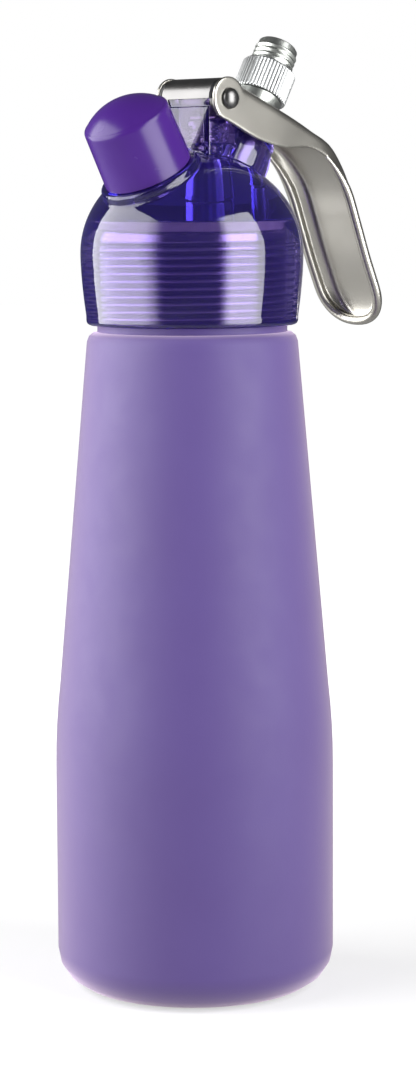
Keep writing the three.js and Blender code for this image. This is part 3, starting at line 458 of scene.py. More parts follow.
def lathe(points, sides=ROD_SIDES, place=None):
    """A closed solid of revolution about Z, or about the Z axis of the matrix place."""
    mesh = bmesh.new()
    rows = []
    for r, z in points:
        count = sides if r > ON_AXIS else 1
        rows.append([mesh.verts.new((r * math.cos(i / sides * math.tau),
                                     r * math.sin(i / sides * math.tau), z)) for i in range(count)])
    for low, high in zip(rows, rows[1:]):
        for side in range(sides):
            after = (side + 1) % sides
            corners = [low[side % len(low)], low[after % len(low)],
                       high[after % len(high)], high[side % len(high)]]
            unique = list(dict.fromkeys(corners))
            if len(unique) > 2:
                mesh.faces.new(unique)
    if place:
        mesh.transform(place)
    return mesh


def rod(radius, low, high, place=None, sides=ROD_SIDES):
    """A cylinder from low to high."""
    return lathe([(0, low), (radius, low), (radius, high), (0, high)], sides, place)


def along_y(x, z):
    """Places a rod's axis along Y through a point of the plane Y = 0."""
    return Matrix.Translation((x, 0, z)) @ Matrix.Rotation(math.radians(-90), 4, "X")


def prism(shape, low, high, place=None):
    """An outline in X and Y raised from low to high."""
    mesh = bmesh.new()
    rings = [[mesh.verts.new((x, y, z)) for x, y in shape] for z in (low, high)]
    mesh.faces.new(rings[0][::-1])
    mesh.faces.new(rings[1])
    for i in range(len(shape)):
        j = (i + 1) % len(shape)
        mesh.faces.new((rings[0][i], rings[0][j], rings[1][j], rings[1][i]))
    if place:
        mesh.transform(place)
    return mesh


def block(front, rear, half, low, high, place=None):
    """A box from front to rear along X, as wide on both sides of the plane Y = 0."""
    return prism([(front, -half), (rear, -half), (rear, half), (front, half)], low, high, place)


def lofted(rings):
    """A closed skin over rings with the same number of points."""
    mesh = bmesh.new()
    rows = [[mesh.verts.new(point) for point in ring] for ring in rings]
    count = len(rows[0])
    for low, high in zip(rows, rows[1:]):
        for i in range(count):
            j = (i + 1) % count
            mesh.faces.new((low[i], low[j], high[j], high[i]))
    mesh.faces.new(rows[0][::-1])
    mesh.faces.new(rows[-1])
    return mesh


def rounded(front, rear, half, corner, steps=8):
    """A rectangle with rounded corners, from front to rear along X."""
    points = []
    for x, y, start in ((rear - corner, half - corner, 0), (front + corner, half - corner, 1),
                        (front + corner, corner - half, 2), (rear - corner, corner - half, 3)):
        for i in range(steps + 1):
            angle = (start + i / steps) * math.tau / 4
            points.append((x + corner * math.cos(angle), y + corner * math.sin(angle)))
    return points


def arc_points(r, z, size, start, end, steps=8):
    """Points of an arc in the half plane, its start and end in quarter turns."""
    angles = [(start + (end - start) * i / steps) * math.tau / 4 for i in range(steps + 1)]
    return [(r + size * math.cos(a), z + size * math.sin(a)) for a in angles]


def bend(start, corner, end, steps=8):
    """Points of a curve that leaves start toward the corner point and arrives from it at end."""
    points = []
    for i in range(steps + 1):
        t = i / steps
        points.append(tuple((1 - t) ** 2 * a + 2 * t * (1 - t) * b + t * t * c
                            for a, b, c in zip(start, corner, end)))
    return points


UPRIGHT = Matrix.Rotation(math.radians(90), 4, "X")  # stands an outline in X and Z
SEAT_GAP = 0.3                   # between pieces that touch
SCREW_GAP = 0.4                  # between the neck's thread and the head's bore
OVERRUN = 2                      # how far a cutting tool reaches past the piece
SMOOTH_FACTOR = 0.5              # smoothing of a remeshed skin
SMOOTH_PASSES = 6


# Lever, from the same line and shares as the CAD model, with a finer skin
RIVET_BOX = [Vector(corner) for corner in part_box("lever_rivet")]
RIVET_X, _, RIVET_Z = (RIVET_BOX[0] + RIVET_BOX[1]) / 2 / MM
RIVET_RADIUS = 2
RIVET_BORE = RIVET_RADIUS + SEAT_GAP
PIVOT = along_y(RIVET_X, RIVET_Z)
SHEET = 1.1
REACH = 66.5                     # rivet to the handle's end, along X
DROP = 66                        # rivet to the handle's rim end, down
NOSE = 6.1                       # radius round the rivet
CHEEK_DEPTH = 11.6               # depth of the channel beside the rivet
TRAY_DEPTH = 4.4                 # depth of the dished handle
TRAY_RIM = 11.9                  # half width of the handle at its rim
TRAY_FLOOR = 9                   # half width of its floor
TRAY_END = 13                    # length of its rounded end
FLOOR_CORNER = 2.6               # rounding between floor and wall
BEAD = 1.45                      # radius of the rolled edge
BEAD_START = 0.44                # share of the web's line where the edge starts to roll
BEAD_POWER = 2.2                 # squareness of the bead's line round the end
BEAD_GROWTH = 1 / 9              # share of the bead's length over which it grows at each end
BEAD_STEPS = 80                  # points along each rim
BEAD_END_STEPS = 60              # steps round the end
BEAD_SIDES = 20
BEAD_SMOOTHING = 6               # passes over its line
BEAD_UP = Vector((1, 0, 0.4)).normalized()      # outward, roughly square to the handle
SLOT_FRONT = 11.1                # slot in the web for the gas inlet, from the rivet along X
SLOT_REAR = 33
SLOT_MARGIN = 1                  # web left beside each cheek
SLOT_CORNER = 0.8                # share of the slot's half width
TONGUE_FRONT = 6.5               # inner face of the tongue, from the rivet along X
TONGUE_HALF = 4.4
WEB_FALL = 0.4                   # fall of the web over its first stretch, per length
SOLE_DROP = 5.7                  # sole of the tongue below the rivet
SOLE_FRONT = 0.6
LEVER_VOXEL = 0.3
LEVER_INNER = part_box("pivot_washer_right")[1][1] / MM + SEAT_GAP
LEVER_HALF = LEVER_INNER + SHEET
WEB_SHARES = ((0, -0.092), (0.11, -0.047), (0.22, -0.002), (0.33, 0.042), (0.44, 0.089),
              (0.535, 0.134), (0.65, 0.19), (0.738, 0.272), (0.806, 0.37), (0.862, 0.5),
              (0.925, 0.655), (0.978, 0.77), (1.026, 0.875), (1.068, 0.966))
DEPTH_SHARES = (1, 1, 1.03, 0.9, 0.6, 0.05, 0, 0, 0, 0, 0, 0, 0, 0)
DEPTH_BLUR = 4                   # samples to each side that a depth is averaged over
DEPTH_STEP = 0.008               # share of the web's points from one to the next
FADE_SHARES = (0.36, 0.62)       # of the web's length, where the cheeks run out
END_POWER = 2.4                  # squareness of the handle's end
THINNEST = 0.01                  # no ring is thinner, so that its points stay apart
TANGENT_STEP = 0.01              # share of the length to each side that a direction is taken over
LOFT_STEPS = 110                 # rings along the lever, and below those that close its end
END_STEPS = 20


def web_line(steps=40):
    """Points on a smooth curve through WEB_SHARES, the lever's web: X, Z, length so far and
    share of the control points."""
    knots = [Vector((RIVET_X + x * REACH, RIVET_Z - z * DROP)) for x, z in WEB_SHARES]
    knots = [2 * knots[0] - knots[1], *knots, 2 * knots[-1] - knots[-2]]
    spans = len(knots) - 3
    rows = []
    for k in range(spans):
        a, b, c, d = knots[k:k + 4]
        u, v, w = ((q - p).length ** 0.5 for p, q in ((a, b), (b, c), (c, d)))
        leave = ((b - a) / u - (c - a) / (u + v) + (c - b) / v) * v
        reach = ((c - b) / v - (d - b) / (v + w) + (d - c) / w) * v
        for i in range(steps + (k == spans - 1)):
            t = i / steps
            point = ((2 * t ** 3 - 3 * t ** 2 + 1) * b + (t ** 3 - 2 * t ** 2 + t) * leave
                     + (3 * t ** 2 - 2 * t ** 3) * c + (t ** 3 - t ** 2) * reach)
            rows.append([point.x, point.y, 0, (k + t) / spans])
    for last, row in zip(rows, rows[1:]):
        row[2] = last[2] + math.dist(last[:2], row[:2])
    return rows


WEB = web_line()
WEB_LENGTH = WEB[-1][2]
END_SHARE = 1 - TRAY_END / WEB_LENGTH


def web_at(share):
    """The web's point at a share of its length, and the share of the control points there."""
    length = min(max(share, 0), 1) * WEB_LENGTH
    last = len(WEB) - 1
    i = max(1, next((k for k, row in enumerate(WEB) if row[2] >= length), last))
    (x0, z0, l0, s0), (x1, z1, l1, s1) = WEB[i - 1], WEB[i]
    t = (length - l0) / (l1 - l0)
    return Vector((x0 + (x1 - x0) * t, z0 + (z1 - z0) * t)), s0 + (s1 - s0) * t


def station(share):
    """Rim point, outward direction, depth and cheek share at a share of the web's length."""
    point, control = web_at(share)
    ahead = (web_at(share + TANGENT_STEP)[0] - web_at(share - TANGENT_STEP)[0]).normalized()
    outward = Vector((-ahead.y, ahead.x))
    total = 0
    for k in range(-DEPTH_BLUR, DEPTH_BLUR + 1):
        at = min(max(control + k * DEPTH_STEP, 0), 1) * (len(DEPTH_SHARES) - 1)
        i = min(int(at), len(DEPTH_SHARES) - 2)
        total += DEPTH_SHARES[i] + (DEPTH_SHARES[i + 1] - DEPTH_SHARES[i]) * (at - i)
    depth = TRAY_DEPTH + (CHEEK_DEPTH - TRAY_DEPTH) * total / (2 * DEPTH_BLUR + 1)
    fade = min(max((share - FADE_SHARES[0]) / (FADE_SHARES[1] - FADE_SHARES[0]), 0), 1)
    return point - outward * depth, outward, depth, 1 - fade * fade * (3 - 2 * fade)


def lever_ring(share, inset, lift):
    """The lever's section at a share of its length, moved in by inset and raised by lift."""
    rim, outward, depth, cheek = station(share)
    late = max(0, (share - END_SHARE) / (1 - END_SHARE - inset / WEB_LENGTH))
    narrow = math.sqrt(max(0, 1 - min(late, 1) ** END_POWER))
    top = TRAY_RIM + (LEVER_HALF - TRAY_RIM) * cheek
    base = TRAY_FLOOR + (LEVER_HALF - TRAY_FLOOR) * cheek
    rim_half = max((top - inset) * narrow, THINNEST)
    floor_half = max((base - inset) * narrow, THINNEST / 2)
    deep = max((depth - inset) * math.sqrt(narrow), THINNEST)
    corner = min(FLOOR_CORNER, deep / 2, floor_half / 2)
    wall = Vector((floor_half - rim_half, deep)).normalized()
    half = [(rim_half, -lift)] if lift else []
    half.append((rim_half, 0))
    half += bend((floor_half - wall.x * corner, deep - wall.y * corner), (floor_half, deep),
                 (floor_half - corner, deep))
    section = half + [(-y, n) for y, n in reversed(half)]
    return [(rim.x + outward.x * n, y, rim.y + outward.y * n) for y, n in section]


def lever_loft(inset, lift):
    """The lever as a full body, or with an inset the space inside its sheet."""
    last = 1 - inset / WEB_LENGTH
    shares = [END_SHARE * i / LOFT_STEPS for i in range(LOFT_STEPS)]
    shares += [END_SHARE + (last - END_SHARE) * math.sin(i / END_STEPS * math.tau / 4)
               for i in range(END_STEPS + 1)]
    return lofted([lever_ring(share, inset, lift) for share in shares])


def bead_line():
    """The middle of the rolled edge: down one rim, round the end and up the other."""
    half = TRAY_RIM - SHEET / 2
    line = []
    for i in range(BEAD_STEPS):
        rim = station(BEAD_START + (END_SHARE - BEAD_START) * i / BEAD_STEPS)[0]
        line.append(Vector((rim.x, -half, rim.y)))
    tip = 1 - SHEET / WEB_LENGTH
    end = []
    for i in range(BEAD_END_STEPS + 1):
        angle = (i / BEAD_END_STEPS - 0.5) * math.pi
        rim = station(END_SHARE + (tip - END_SHARE) * math.cos(angle) ** (2 / END_POWER))[0]
        y = half * math.copysign(abs(math.sin(angle)) ** (2 / BEAD_POWER), angle)
        end.append(Vector((rim.x, y, rim.y)))
    line += end + [Vector((p.x, -p.y, p.z)) for p in reversed(line)]
    for _ in range(BEAD_SMOOTHING):
        smoother = [(a + 2 * b + c) / 4 for a, b, c in zip(line, line[1:], line[2:])]
        line = [line[0], *smoother, line[-1]]
    return line


def bead():
    """The rolled edge round the handle's rim."""
    line = bead_line()
    rings = []
    for i, centre in enumerate(line):
        ahead = (line[min(i + 1, len(line) - 1)] - line[max(i - 1, 0)]).normalized()
        across = ahead.cross(BEAD_UP).normalized()
        over = across.cross(ahead)
        grown = min(1, min(i, len(line) - 1 - i) / len(line) / BEAD_GROWTH)
        radius = SHEET / 2 + (BEAD - SHEET / 2) * grown
        rings.append([centre + across * radius * math.cos(j / BEAD_SIDES * math.tau)
                      + over * radius * math.sin(j / BEAD_SIDES * math.tau)
                      for j in range(BEAD_SIDES)])
    return lofted(rings)


def lever_skin():
    """One pressed sheet: lofted outside, hollowed, pierced, then rounded all over."""
    skin = combined(scratch(lever_loft(0, 0)), rod(NOSE, -LEVER_HALF, LEVER_HALF, PIVOT), "UNION")
    slot_half = LEVER_INNER - SLOT_MARGIN
    slot = rounded(RIVET_X + SLOT_FRONT, RIVET_X + SLOT_REAR, slot_half, slot_half * SLOT_CORNER)
    for tool in (lever_loft(SHEET, OVERRUN),
                 block(RIVET_X - NOSE - OVERRUN, RIVET_X + TONGUE_FRONT, LEVER_INNER,
                       RIVET_Z - CHEEK_DEPTH - OVERRUN, RIVET_Z + NOSE + OVERRUN),
                 rod(NOSE, -LEVER_INNER, LEVER_INNER, PIVOT),
                 prism(slot, RIVET_Z - DROP / 3, RIVET_Z + NOSE + OVERRUN),
                 rod(RIVET_BORE, -LEVER_HALF - OVERRUN, LEVER_HALF + OVERRUN, PIVOT)):
        combined(skin, tool, "DIFFERENCE")
    sole = RIVET_Z - SOLE_DROP
    web_under = RIVET_Z + NOSE - TONGUE_FRONT * WEB_FALL - SHEET
    front, inner = RIVET_X + SOLE_FRONT, RIVET_X + TONGUE_FRONT
    tongue = [(front, sole), (inner + SHEET, sole), (inner + SHEET, web_under),
              (inner, web_under), (inner, sole + SHEET), (front, sole + SHEET)]
    combined(skin, prism(tongue, -TONGUE_HALF, TONGUE_HALF, UPRIGHT), "UNION")
    combined(skin, bead(), "UNION")
    return rounded_off(skin, LEVER_VOXEL)


# Head, from the CAD model's sizes with finer rounds
SKIRT_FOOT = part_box("head_shell")[0][2] / MM
NECK_RADIUS = 27                 # the bottle's, at its thread's crests
SKIRT_WALL = 2.7
SKIRT_HEIGHT = 20.3
SKIRT_FLARE = 1.5                # how much wider the dome is than the skirt
SKIRT_EDGE = 1.3                 # rounding of the lower edge
SKIRT_BEND = SKIRT_HEIGHT / 3    # over this height the flare turns upright
FLARE_STEPS = 12
HEAD_BORE = NECK_RADIUS + SCREW_GAP
SKIRT_RADIUS = HEAD_BORE + SKIRT_WALL
DOME_RADIUS = SKIRT_RADIUS + SKIRT_FLARE
DOME_FOOT = SKIRT_FOOT + SKIRT_HEIGHT
DOME_HEIGHT = 28
DOME_STEPS = 40
CROWN = DOME_FOOT + DOME_HEIGHT
CEILING = SKIRT_FOOT + 29.1      # top of the bore
NOZZLE_X = -17.07                # middle of the cap's foot
NOZZLE_RISE = -5                 # of that point over the dome's crown
NOZZLE_TILT = -30                # degrees about Y
INLET_X = 32.2                   # middle of the knurled collar's top
INLET_RISE = 24.6                # of that point over the dome's crown
INLET_TILT = 30
CAP_OUTER = 12.7
SAUCER_LIP = 1.7                 # how far the nozzle's boss stands out round the cap
SAUCER_RADIUS = CAP_OUTER + SAUCER_LIP
BOSS_DEPTH = 14
OUTLET_SOCKET = 7.6
OUTLET_DEPTH = 9.3
INLET_BOSS_RADIUS = 9.7
INLET_BOSS_DRAFT = 0.7
INLET_BOSS_EDGE = 1.0
INLET_BOSS_TOP = -22.5           # below the collar's top, along the inlet
INLET_BOSS_DEPTH = 20
INLET_SOCKET = 5.6
INLET_FLOOR = -33.4              # of the socket, below the collar's top
GAS_RADIUS = 1.4
TOWER_HALF = 8
LUG_RADIUS = 4.4
TOWER_DEPTH = 14.4
TOWER_FRONT = RIVET_X - LUG_RADIUS
TOWER_REAR = TOWER_FRONT + TOWER_DEPTH
TOWER_TOP = CROWN + 12.6         # the shoulder under the lugs
TOWER_SLOPE = 3.8                # the top falls by this behind the lugs
TOWER_WALL = 1.3
TOWER_FOOT = CEILING + TOWER_WALL
POCKET_HALF = 5
POCKET_CORNER = 1
POCKET_FLOOR = CROWN + 2.2
VALVE_X = RIVET_X + 1            # the valve's axis
SPRING_SEAT = POCKET_FLOOR - 2.6
SPRING_BORE = 3.9
STEM_BORE = 3.2
BORE_FOOT = SPRING_SEAT - 6.2    # foot of the stem's bore, where the guide's wider one ends
CHANNEL_DROP = 1.5               # the cream's channel starts this far below the stem's bore
GUIDE_BORE = 4.8
CHANNEL_RADIUS = 1.9
CHANNEL_SIDES = 32
HEAD_VOXEL = 0.32
BORE_REACH = 0.15                # vertices this near the bore belong to it
BORE_FADE = 1.5                  # height over which the bore's thread grows
NOZZLE = (Matrix.Translation((NOZZLE_X, 0, CROWN + NOZZLE_RISE))
          @ Matrix.Rotation(math.radians(NOZZLE_TILT), 4, "Y"))
INLET = (Matrix.Translation((INLET_X, 0, CROWN + INLET_RISE))
         @ Matrix.Rotation(math.radians(INLET_TILT), 4, "Y"))


def between(start, end, radius):
    """A rod between two points of the plane Y = 0."""
    along = Vector((end[0] - start[0], 0, end[1] - start[1]))
    turned = along.to_track_quat("Z", "Y").to_matrix().to_4x4()
    place = Matrix.Translation((start[0], 0, start[1])) @ turned
    return rod(radius, 0, along.length, place, CHANNEL_SIDES)


def at_valve(radius, low, high):
    """A rod on the valve's axis."""
    return rod(radius, low, high, Matrix.Translation((VALVE_X, 0, 0)))


def skirt_and_dome():
    """The head's revolved body, closed at the ceiling."""
    flare_foot = SKIRT_FOOT + 2 * SKIRT_EDGE
    flare = bend((SKIRT_RADIUS, flare_foot), (DOME_RADIUS, DOME_FOOT - SKIRT_BEND),
                 (DOME_RADIUS, DOME_FOOT), FLARE_STEPS)
    angles = [i / DOME_STEPS * math.tau / 4 for i in range(1, DOME_STEPS)]
    dome = [(DOME_RADIUS * math.cos(a), DOME_FOOT + DOME_HEIGHT * math.sin(a)) for a in angles]
    foot = arc_points(SKIRT_RADIUS - SKIRT_EDGE, SKIRT_FOOT + SKIRT_EDGE, SKIRT_EDGE, -1, 0)
    return lathe([(0, CEILING), (HEAD_BORE, CEILING), (HEAD_BORE, SKIRT_FOOT + SKIRT_EDGE),
                  (HEAD_BORE + SKIRT_EDGE / 2, SKIRT_FOOT), *foot, *flare, *dome, (0, CROWN)],
                 SPIN_SIDES)


def nozzle_boss():
    edge = SAUCER_LIP / 2
    return lathe([(0, -BOSS_DEPTH), (CAP_OUTER, -BOSS_DEPTH), (SAUCER_RADIUS, -SEAT_GAP - 3 * edge),
                  *arc_points(SAUCER_RADIUS - edge, -SEAT_GAP - edge, edge, 0, 1),
                  (0, -SEAT_GAP)], place=NOZZLE)


def inlet_boss():
    top, edge = INLET_BOSS_TOP, INLET_BOSS_EDGE
    wide = INLET_BOSS_RADIUS + INLET_BOSS_DRAFT
    return lathe([(0, top - INLET_BOSS_DEPTH), (wide, top - INLET_BOSS_DEPTH),
                  (wide, top - INLET_BOSS_DEPTH / 3), (INLET_BOSS_RADIUS, top - 3 * edge),
                  *arc_points(INLET_BOSS_RADIUS - edge, top - edge, edge, 0, 1),
                  (0, top)], place=INLET)


def tower():
    """The upright block under the lever's pivot, its top sloped behind the lugs."""
    side_view = [(TOWER_FRONT, TOWER_FOOT), (TOWER_REAR, TOWER_FOOT),
                 (TOWER_REAR, TOWER_TOP - TOWER_SLOPE), (RIVET_X + LUG_RADIUS, TOWER_TOP),
                 (TOWER_FRONT, TOWER_TOP)]
    return prism(side_view, -TOWER_HALF, TOWER_HALF, UPRIGHT)


def head_skin():
    """The clear moulding: skirt and dome, bosses and tower, then its bores."""
    shell = scratch(skirt_and_dome())
    lugs = rod(LUG_RADIUS, -TOWER_HALF, TOWER_HALF, PIVOT)
    for part in (nozzle_boss(), inlet_boss(), tower(), lugs):
        combined(shell, part, "UNION")
    pocket = rounded(TOWER_FRONT + TOWER_WALL, TOWER_REAR - TOWER_WALL, POCKET_HALF, POCKET_CORNER)
    outlet_foot = NOZZLE @ Vector((0, 0, -OUTLET_DEPTH))
    gas_foot = INLET @ Vector((0, 0, INLET_FLOOR))
    for tool in (rod(HEAD_BORE, SKIRT_FOOT - OVERRUN, CEILING, sides=SPIN_SIDES),
                 prism(pocket, POCKET_FLOOR, RIVET_Z + LUG_RADIUS + OVERRUN),
                 at_valve(SPRING_BORE, SPRING_SEAT, POCKET_FLOOR + OVERRUN),
                 at_valve(STEM_BORE, BORE_FOOT - OVERRUN, SPRING_SEAT + OVERRUN),
                 at_valve(GUIDE_BORE, CEILING - OVERRUN, BORE_FOOT),
                 rod(OUTLET_SOCKET, -OUTLET_DEPTH, OVERRUN, NOZZLE),
                 rod(INLET_SOCKET, INLET_FLOOR, INLET_BOSS_TOP + OVERRUN, INLET),
                 between((VALVE_X, BORE_FOOT - CHANNEL_DROP),
                         (outlet_foot.x, outlet_foot.z + CHANNEL_RADIUS / 2), CHANNEL_RADIUS),
                 between((gas_foot.x, gas_foot.z + INLET_SOCKET), (gas_foot.x, CEILING - OVERRUN),
                         GAS_RADIUS),
                 rod(RIVET_BORE, -TOWER_HALF - OVERRUN, TOWER_HALF + OVERRUN, PIVOT)):
        combined(shell, tool, "DIFFERENCE")
    rounded_off(shell, HEAD_VOXEL)
    low, high, pitch, full = (size / MM for size in (*NECK_THREAD, THREAD_PITCH, BORE_THREAD))
    for vertex in shell.data.vertices:
        x, y, z = vertex.co
        if low < z < high and abs(math.hypot(x, y) - HEAD_BORE) < BORE_REACH:
            phase = (z - low) / pitch - math.atan2(y, x) / math.tau
            fade = min(1, (z - low) / BORE_FADE, (high - z) / BORE_FADE)
            depth = fade * full * (0.5 + 0.5 * math.cos(phase * math.tau))
            vertex.co.x, vertex.co.y = (c * (1 - depth / HEAD_BORE) for c in (x, y))
    return shell


# Cap
CAP_WALL = 1.4
CAP_DRAFT = 0.3                  # the cap narrows by this toward its dome
CAP_STRAIGHT = 16.6
CAP_CROWN = 5.4
CAP_EDGE = 0.9                   # rounding where the wall meets the crown
CAP_EDGE_FALL = 0.35             # slope of the crown at that rounding
CAP_STEPS = 32
RIB_COUNT = 6
RIB_HALF = 0.7
RIB_INNER = 10.1
RIB_FOOT = 3.2
RIB_TOP = 8.3


def cap_outline(inset, foot):
    """The cap's skin: drafted wall, small rounding, shallow crown."""
    rim = CAP_OUTER - inset
    shoulder = rim - CAP_DRAFT
    crown = CAP_CROWN * shoulder / (CAP_OUTER - CAP_DRAFT)
    radius = (shoulder ** 2 + crown ** 2) / (2 * crown)
    spread = math.asin(shoulder / radius) * (1 - CAP_EDGE / shoulder)
    middle_z = CAP_STRAIGHT + crown - radius - inset
    angles = [spread * (1 - i / CAP_STEPS) for i in range(CAP_STEPS)]
    dome = [(radius * math.sin(a), middle_z + radius * math.cos(a)) for a in angles]
    start = (shoulder, CAP_STRAIGHT - inset - CAP_EDGE)
    corner = (shoulder, dome[0][1] - (shoulder - dome[0][0]) * CAP_EDGE_FALL)
    return [(0, foot), (rim, foot), *bend(start, corner, dome[0])[:-1], *dome,
            (0, middle_z + radius)]


def cap_skin():
    """A thin domed cap with ribs inside that grip the decorating tip."""
    shell = scratch(lathe(cap_outline(0, 0), SPIN_SIDES, NOZZLE))
    combined(shell, lathe(cap_outline(CAP_WALL, -OVERRUN), SPIN_SIDES, NOZZLE), "DIFFERENCE")
    for i in range(RIB_COUNT):
        place = NOZZLE @ Matrix.Rotation((i + 0.5) / RIB_COUNT * math.tau, 4, "Z")
        rib = block(RIB_INNER, CAP_OUTER - CAP_WALL / 2, RIB_HALF, RIB_FOOT, RIB_TOP, place)
        combined(shell, rib, "UNION")
    return shell


# Saddle and rivet
SADDLE_INNER = LUG_RADIUS + SEAT_GAP
SADDLE_OUTER = SADDLE_INNER + SHEET
BRACKET_INNER = TOWER_HALF + SEAT_GAP
BRACKET_HALF = BRACKET_INNER + SHEET
SADDLE_EDGE = 0.25               # rounding of its edges
RIVET_HEAD_RADIUS = 2.95
RIVET_HEAD_HEIGHT = 1.9
RIVET_SIDES = 64


def saddle_skin():
    """A half-round sheet over the lugs, with a round plate at each end for the rivet."""
    over = BRACKET_HALF + OVERRUN
    drum = scratch(rod(SADDLE_OUTER, -BRACKET_HALF, BRACKET_HALF, PIVOT))
    reach = SADDLE_OUTER + OVERRUN
    lower = block(RIVET_X - reach, RIVET_X + reach, over, RIVET_Z - reach, RIVET_Z)
    combined(drum, lower, "DIFFERENCE")
    combined(drum, rod(LUG_RADIUS, -BRACKET_HALF, BRACKET_HALF, PIVOT), "UNION")
    combined(drum, rod(SADDLE_INNER, -BRACKET_INNER, BRACKET_INNER, PIVOT), "DIFFERENCE")
    combined(drum, rod(RIVET_BORE, -over, over, PIVOT), "DIFFERENCE")
    rounding = drum.modifiers.new("rounding", "BEVEL")
    rounding.width = SADDLE_EDGE
    rounding.segments = 3
    rounding.angle_limit = FINE_CREASE
    return settled(drum)


def rivet_skin():
    """A rivet with a domed head on each side of the lever."""
    face = LEVER_HALF + SEAT_GAP
    tip = face + RIVET_HEAD_HEIGHT
    head = arc_points(0, 0, 1, 0, 1, 16)[:-1]
    half = [(RIVET_RADIUS, face),
            *((RIVET_HEAD_RADIUS * r, face + RIVET_HEAD_HEIGHT * z) for r, z in head)]
    whole = [(0, -tip), *((r, -z) for r, z in reversed(half)), *half, (0, tip)]
    return scratch(lathe(whole, RIVET_SIDES, PIVOT))


# Collar of the gas inlet
COLLAR_RADIUS = 8
COLLAR_BORE = 6.15
KNURL_LENGTH = 9.8
KNURL_COUNT = 48
KNURL_STEPS = 8                  # facets from one rib to the next
KNURL_DEPTH = 0.35
KNURL_CHAMFER = 0.9
KNURL_FOOT_CHAMFER = 0.5
KNURL_SHARPNESS = 0.7            # below one, the ribs' crests are narrower than the grooves


def collar_skin():
    """A knurled collar: straight rounded ribs, the outer edges turned off."""
    mesh = bmesh.new()
    count = KNURL_COUNT * KNURL_STEPS
    angles = [i / count * math.tau for i in range(count)]
    shave = KNURL_CHAMFER / 2
    levels = [(-KNURL_LENGTH, KNURL_FOOT_CHAMFER), (-KNURL_LENGTH + shave, 0),
              (-KNURL_CHAMFER, 0), (-shave, shave), (0, KNURL_CHAMFER)]
    rows = []
    for z, cut in levels:
        row = []
        for angle in angles:
            rib = KNURL_DEPTH * (0.5 - 0.5 * math.cos(angle * KNURL_COUNT)) ** KNURL_SHARPNESS
            radius = COLLAR_RADIUS - max(rib, cut)
            row.append(mesh.verts.new((radius * math.cos(angle), radius * math.sin(angle), z)))
        rows.append(row)
    for z in (0, -KNURL_LENGTH):
        rows.append([mesh.verts.new((COLLAR_BORE * math.cos(a), COLLAR_BORE * math.sin(a), z))
                     for a in angles])
    for low, high in zip(rows, rows[1:] + rows[:1]):
        for i in range(count):
            j = (i + 1) % count
            mesh.faces.new((low[i], low[j], high[j], high[i]))
    mesh.transform(INLET)
    return scratch(mesh)


# All pieces in place: the bottle, the fine skins, and the rest from their CAD meshes
bottle = shown("bottle", BOTTLE_MESH)
bottle.data.materials.append(FINISHES["bare_aluminium"])
NECK_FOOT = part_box("head_shell")[0][2]
for face in bottle.data.polygons:
    face.material_index = int(face.center.z > NECK_FOOT)
FINE = {"lever": lever_skin, "head_shell": head_skin, "cap": cap_skin, "pin_saddle": saddle_skin,
        "lever_rivet": rivet_skin, "knurled_collar": collar_skin}
for name, skin in FINE.items():
    finished(name, skin())
for name in frame["nodes"]:
    if name != "bottle" and name not in FINE:
        piece = shown(name, welded(name))
        if name == "valve_spring":
            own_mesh(piece)


# Studio: a pale floor and white surround, and two tall soft boxes
FLOOR_RADIUS = 5
FLOOR_GAP = 0.1 * MM             # below the base, so that the two don't share a plane
GLOW_START = 0.12                # distances from the object between which the floor turns white
GLOW_END = 0.5
GLOW_LOW = 0.55                  # the glow near the object
SURROUND_COLOR = (0.95, 0.96, 1.0)
SURROUND_DIM = 0.1               # its strength as light and in reflections
SURROUND_THROUGH = 0.25          # its strength through clear plastic
PANEL_DISTANCE = 0.5             # of each soft box from the bottle's axis
PANEL_LOW = 0.005                # its lower and upper edge
PANEL_HIGH = 0.7
CAMERA_AZIMUTH = -45
CAMERA_ELEVATION = 6.95
CAMERA_ROLL = -0.28
CAMERA_DISTANCE = 814.27 * MM
CAMERA_LENS = 94.98
CAMERA_FRAME = 36                # height of the frame that the lens is given for
TARGET = Vector((2.94, -2.94, 129.5)) * MM      # middle of the picture


def soft_box(name, azimuth, width, radiance, fade):
    """An upright light panel facing the object; azimuth 0 is behind the camera. The edge toward
    the camera fades out over a share of the width."""
    height = PANEL_HIGH - PANEL_LOW
    lamp = bpy.data.lights.new(name, "AREA")
    lamp.shape = "RECTANGLE"
    lamp.size = width
    lamp.size_y = height
    lamp.energy = radiance * math.pi * width * height
    lamp.use_nodes = True
    tree = lamp.node_tree
    across = tree.nodes.new("ShaderNodeSeparateXYZ")
    tree.links.new(tree.nodes.new("ShaderNodeNewGeometry").outputs["Parametric"], across.inputs[0])
    edge = tree.nodes.new("ShaderNodeMapRange")
    edge.interpolation_type = "SMOOTHSTEP"
    near_edge = 0 if azimuth > 0 else 1
    edge.inputs["From Min"].default_value = near_edge
    edge.inputs["From Max"].default_value = abs(near_edge - fade)
    tree.links.new(across.outputs["X"], edge.inputs["Value"])
    tree.links.new(edge.outputs["Result"], tree.nodes["Emission"].inputs["Strength"])
    panel = placed(name, lamp)
    around = math.radians(CAMERA_AZIMUTH + azimuth)
    back = Vector((math.sin(around), -math.cos(around), 0))
    panel.location = PANEL_DISTANCE * back + Vector((0, 0, (PANEL_LOW + PANEL_HIGH) / 2))
    panel.rotation_euler = back.to_track_quat("Z", "Y").to_euler()


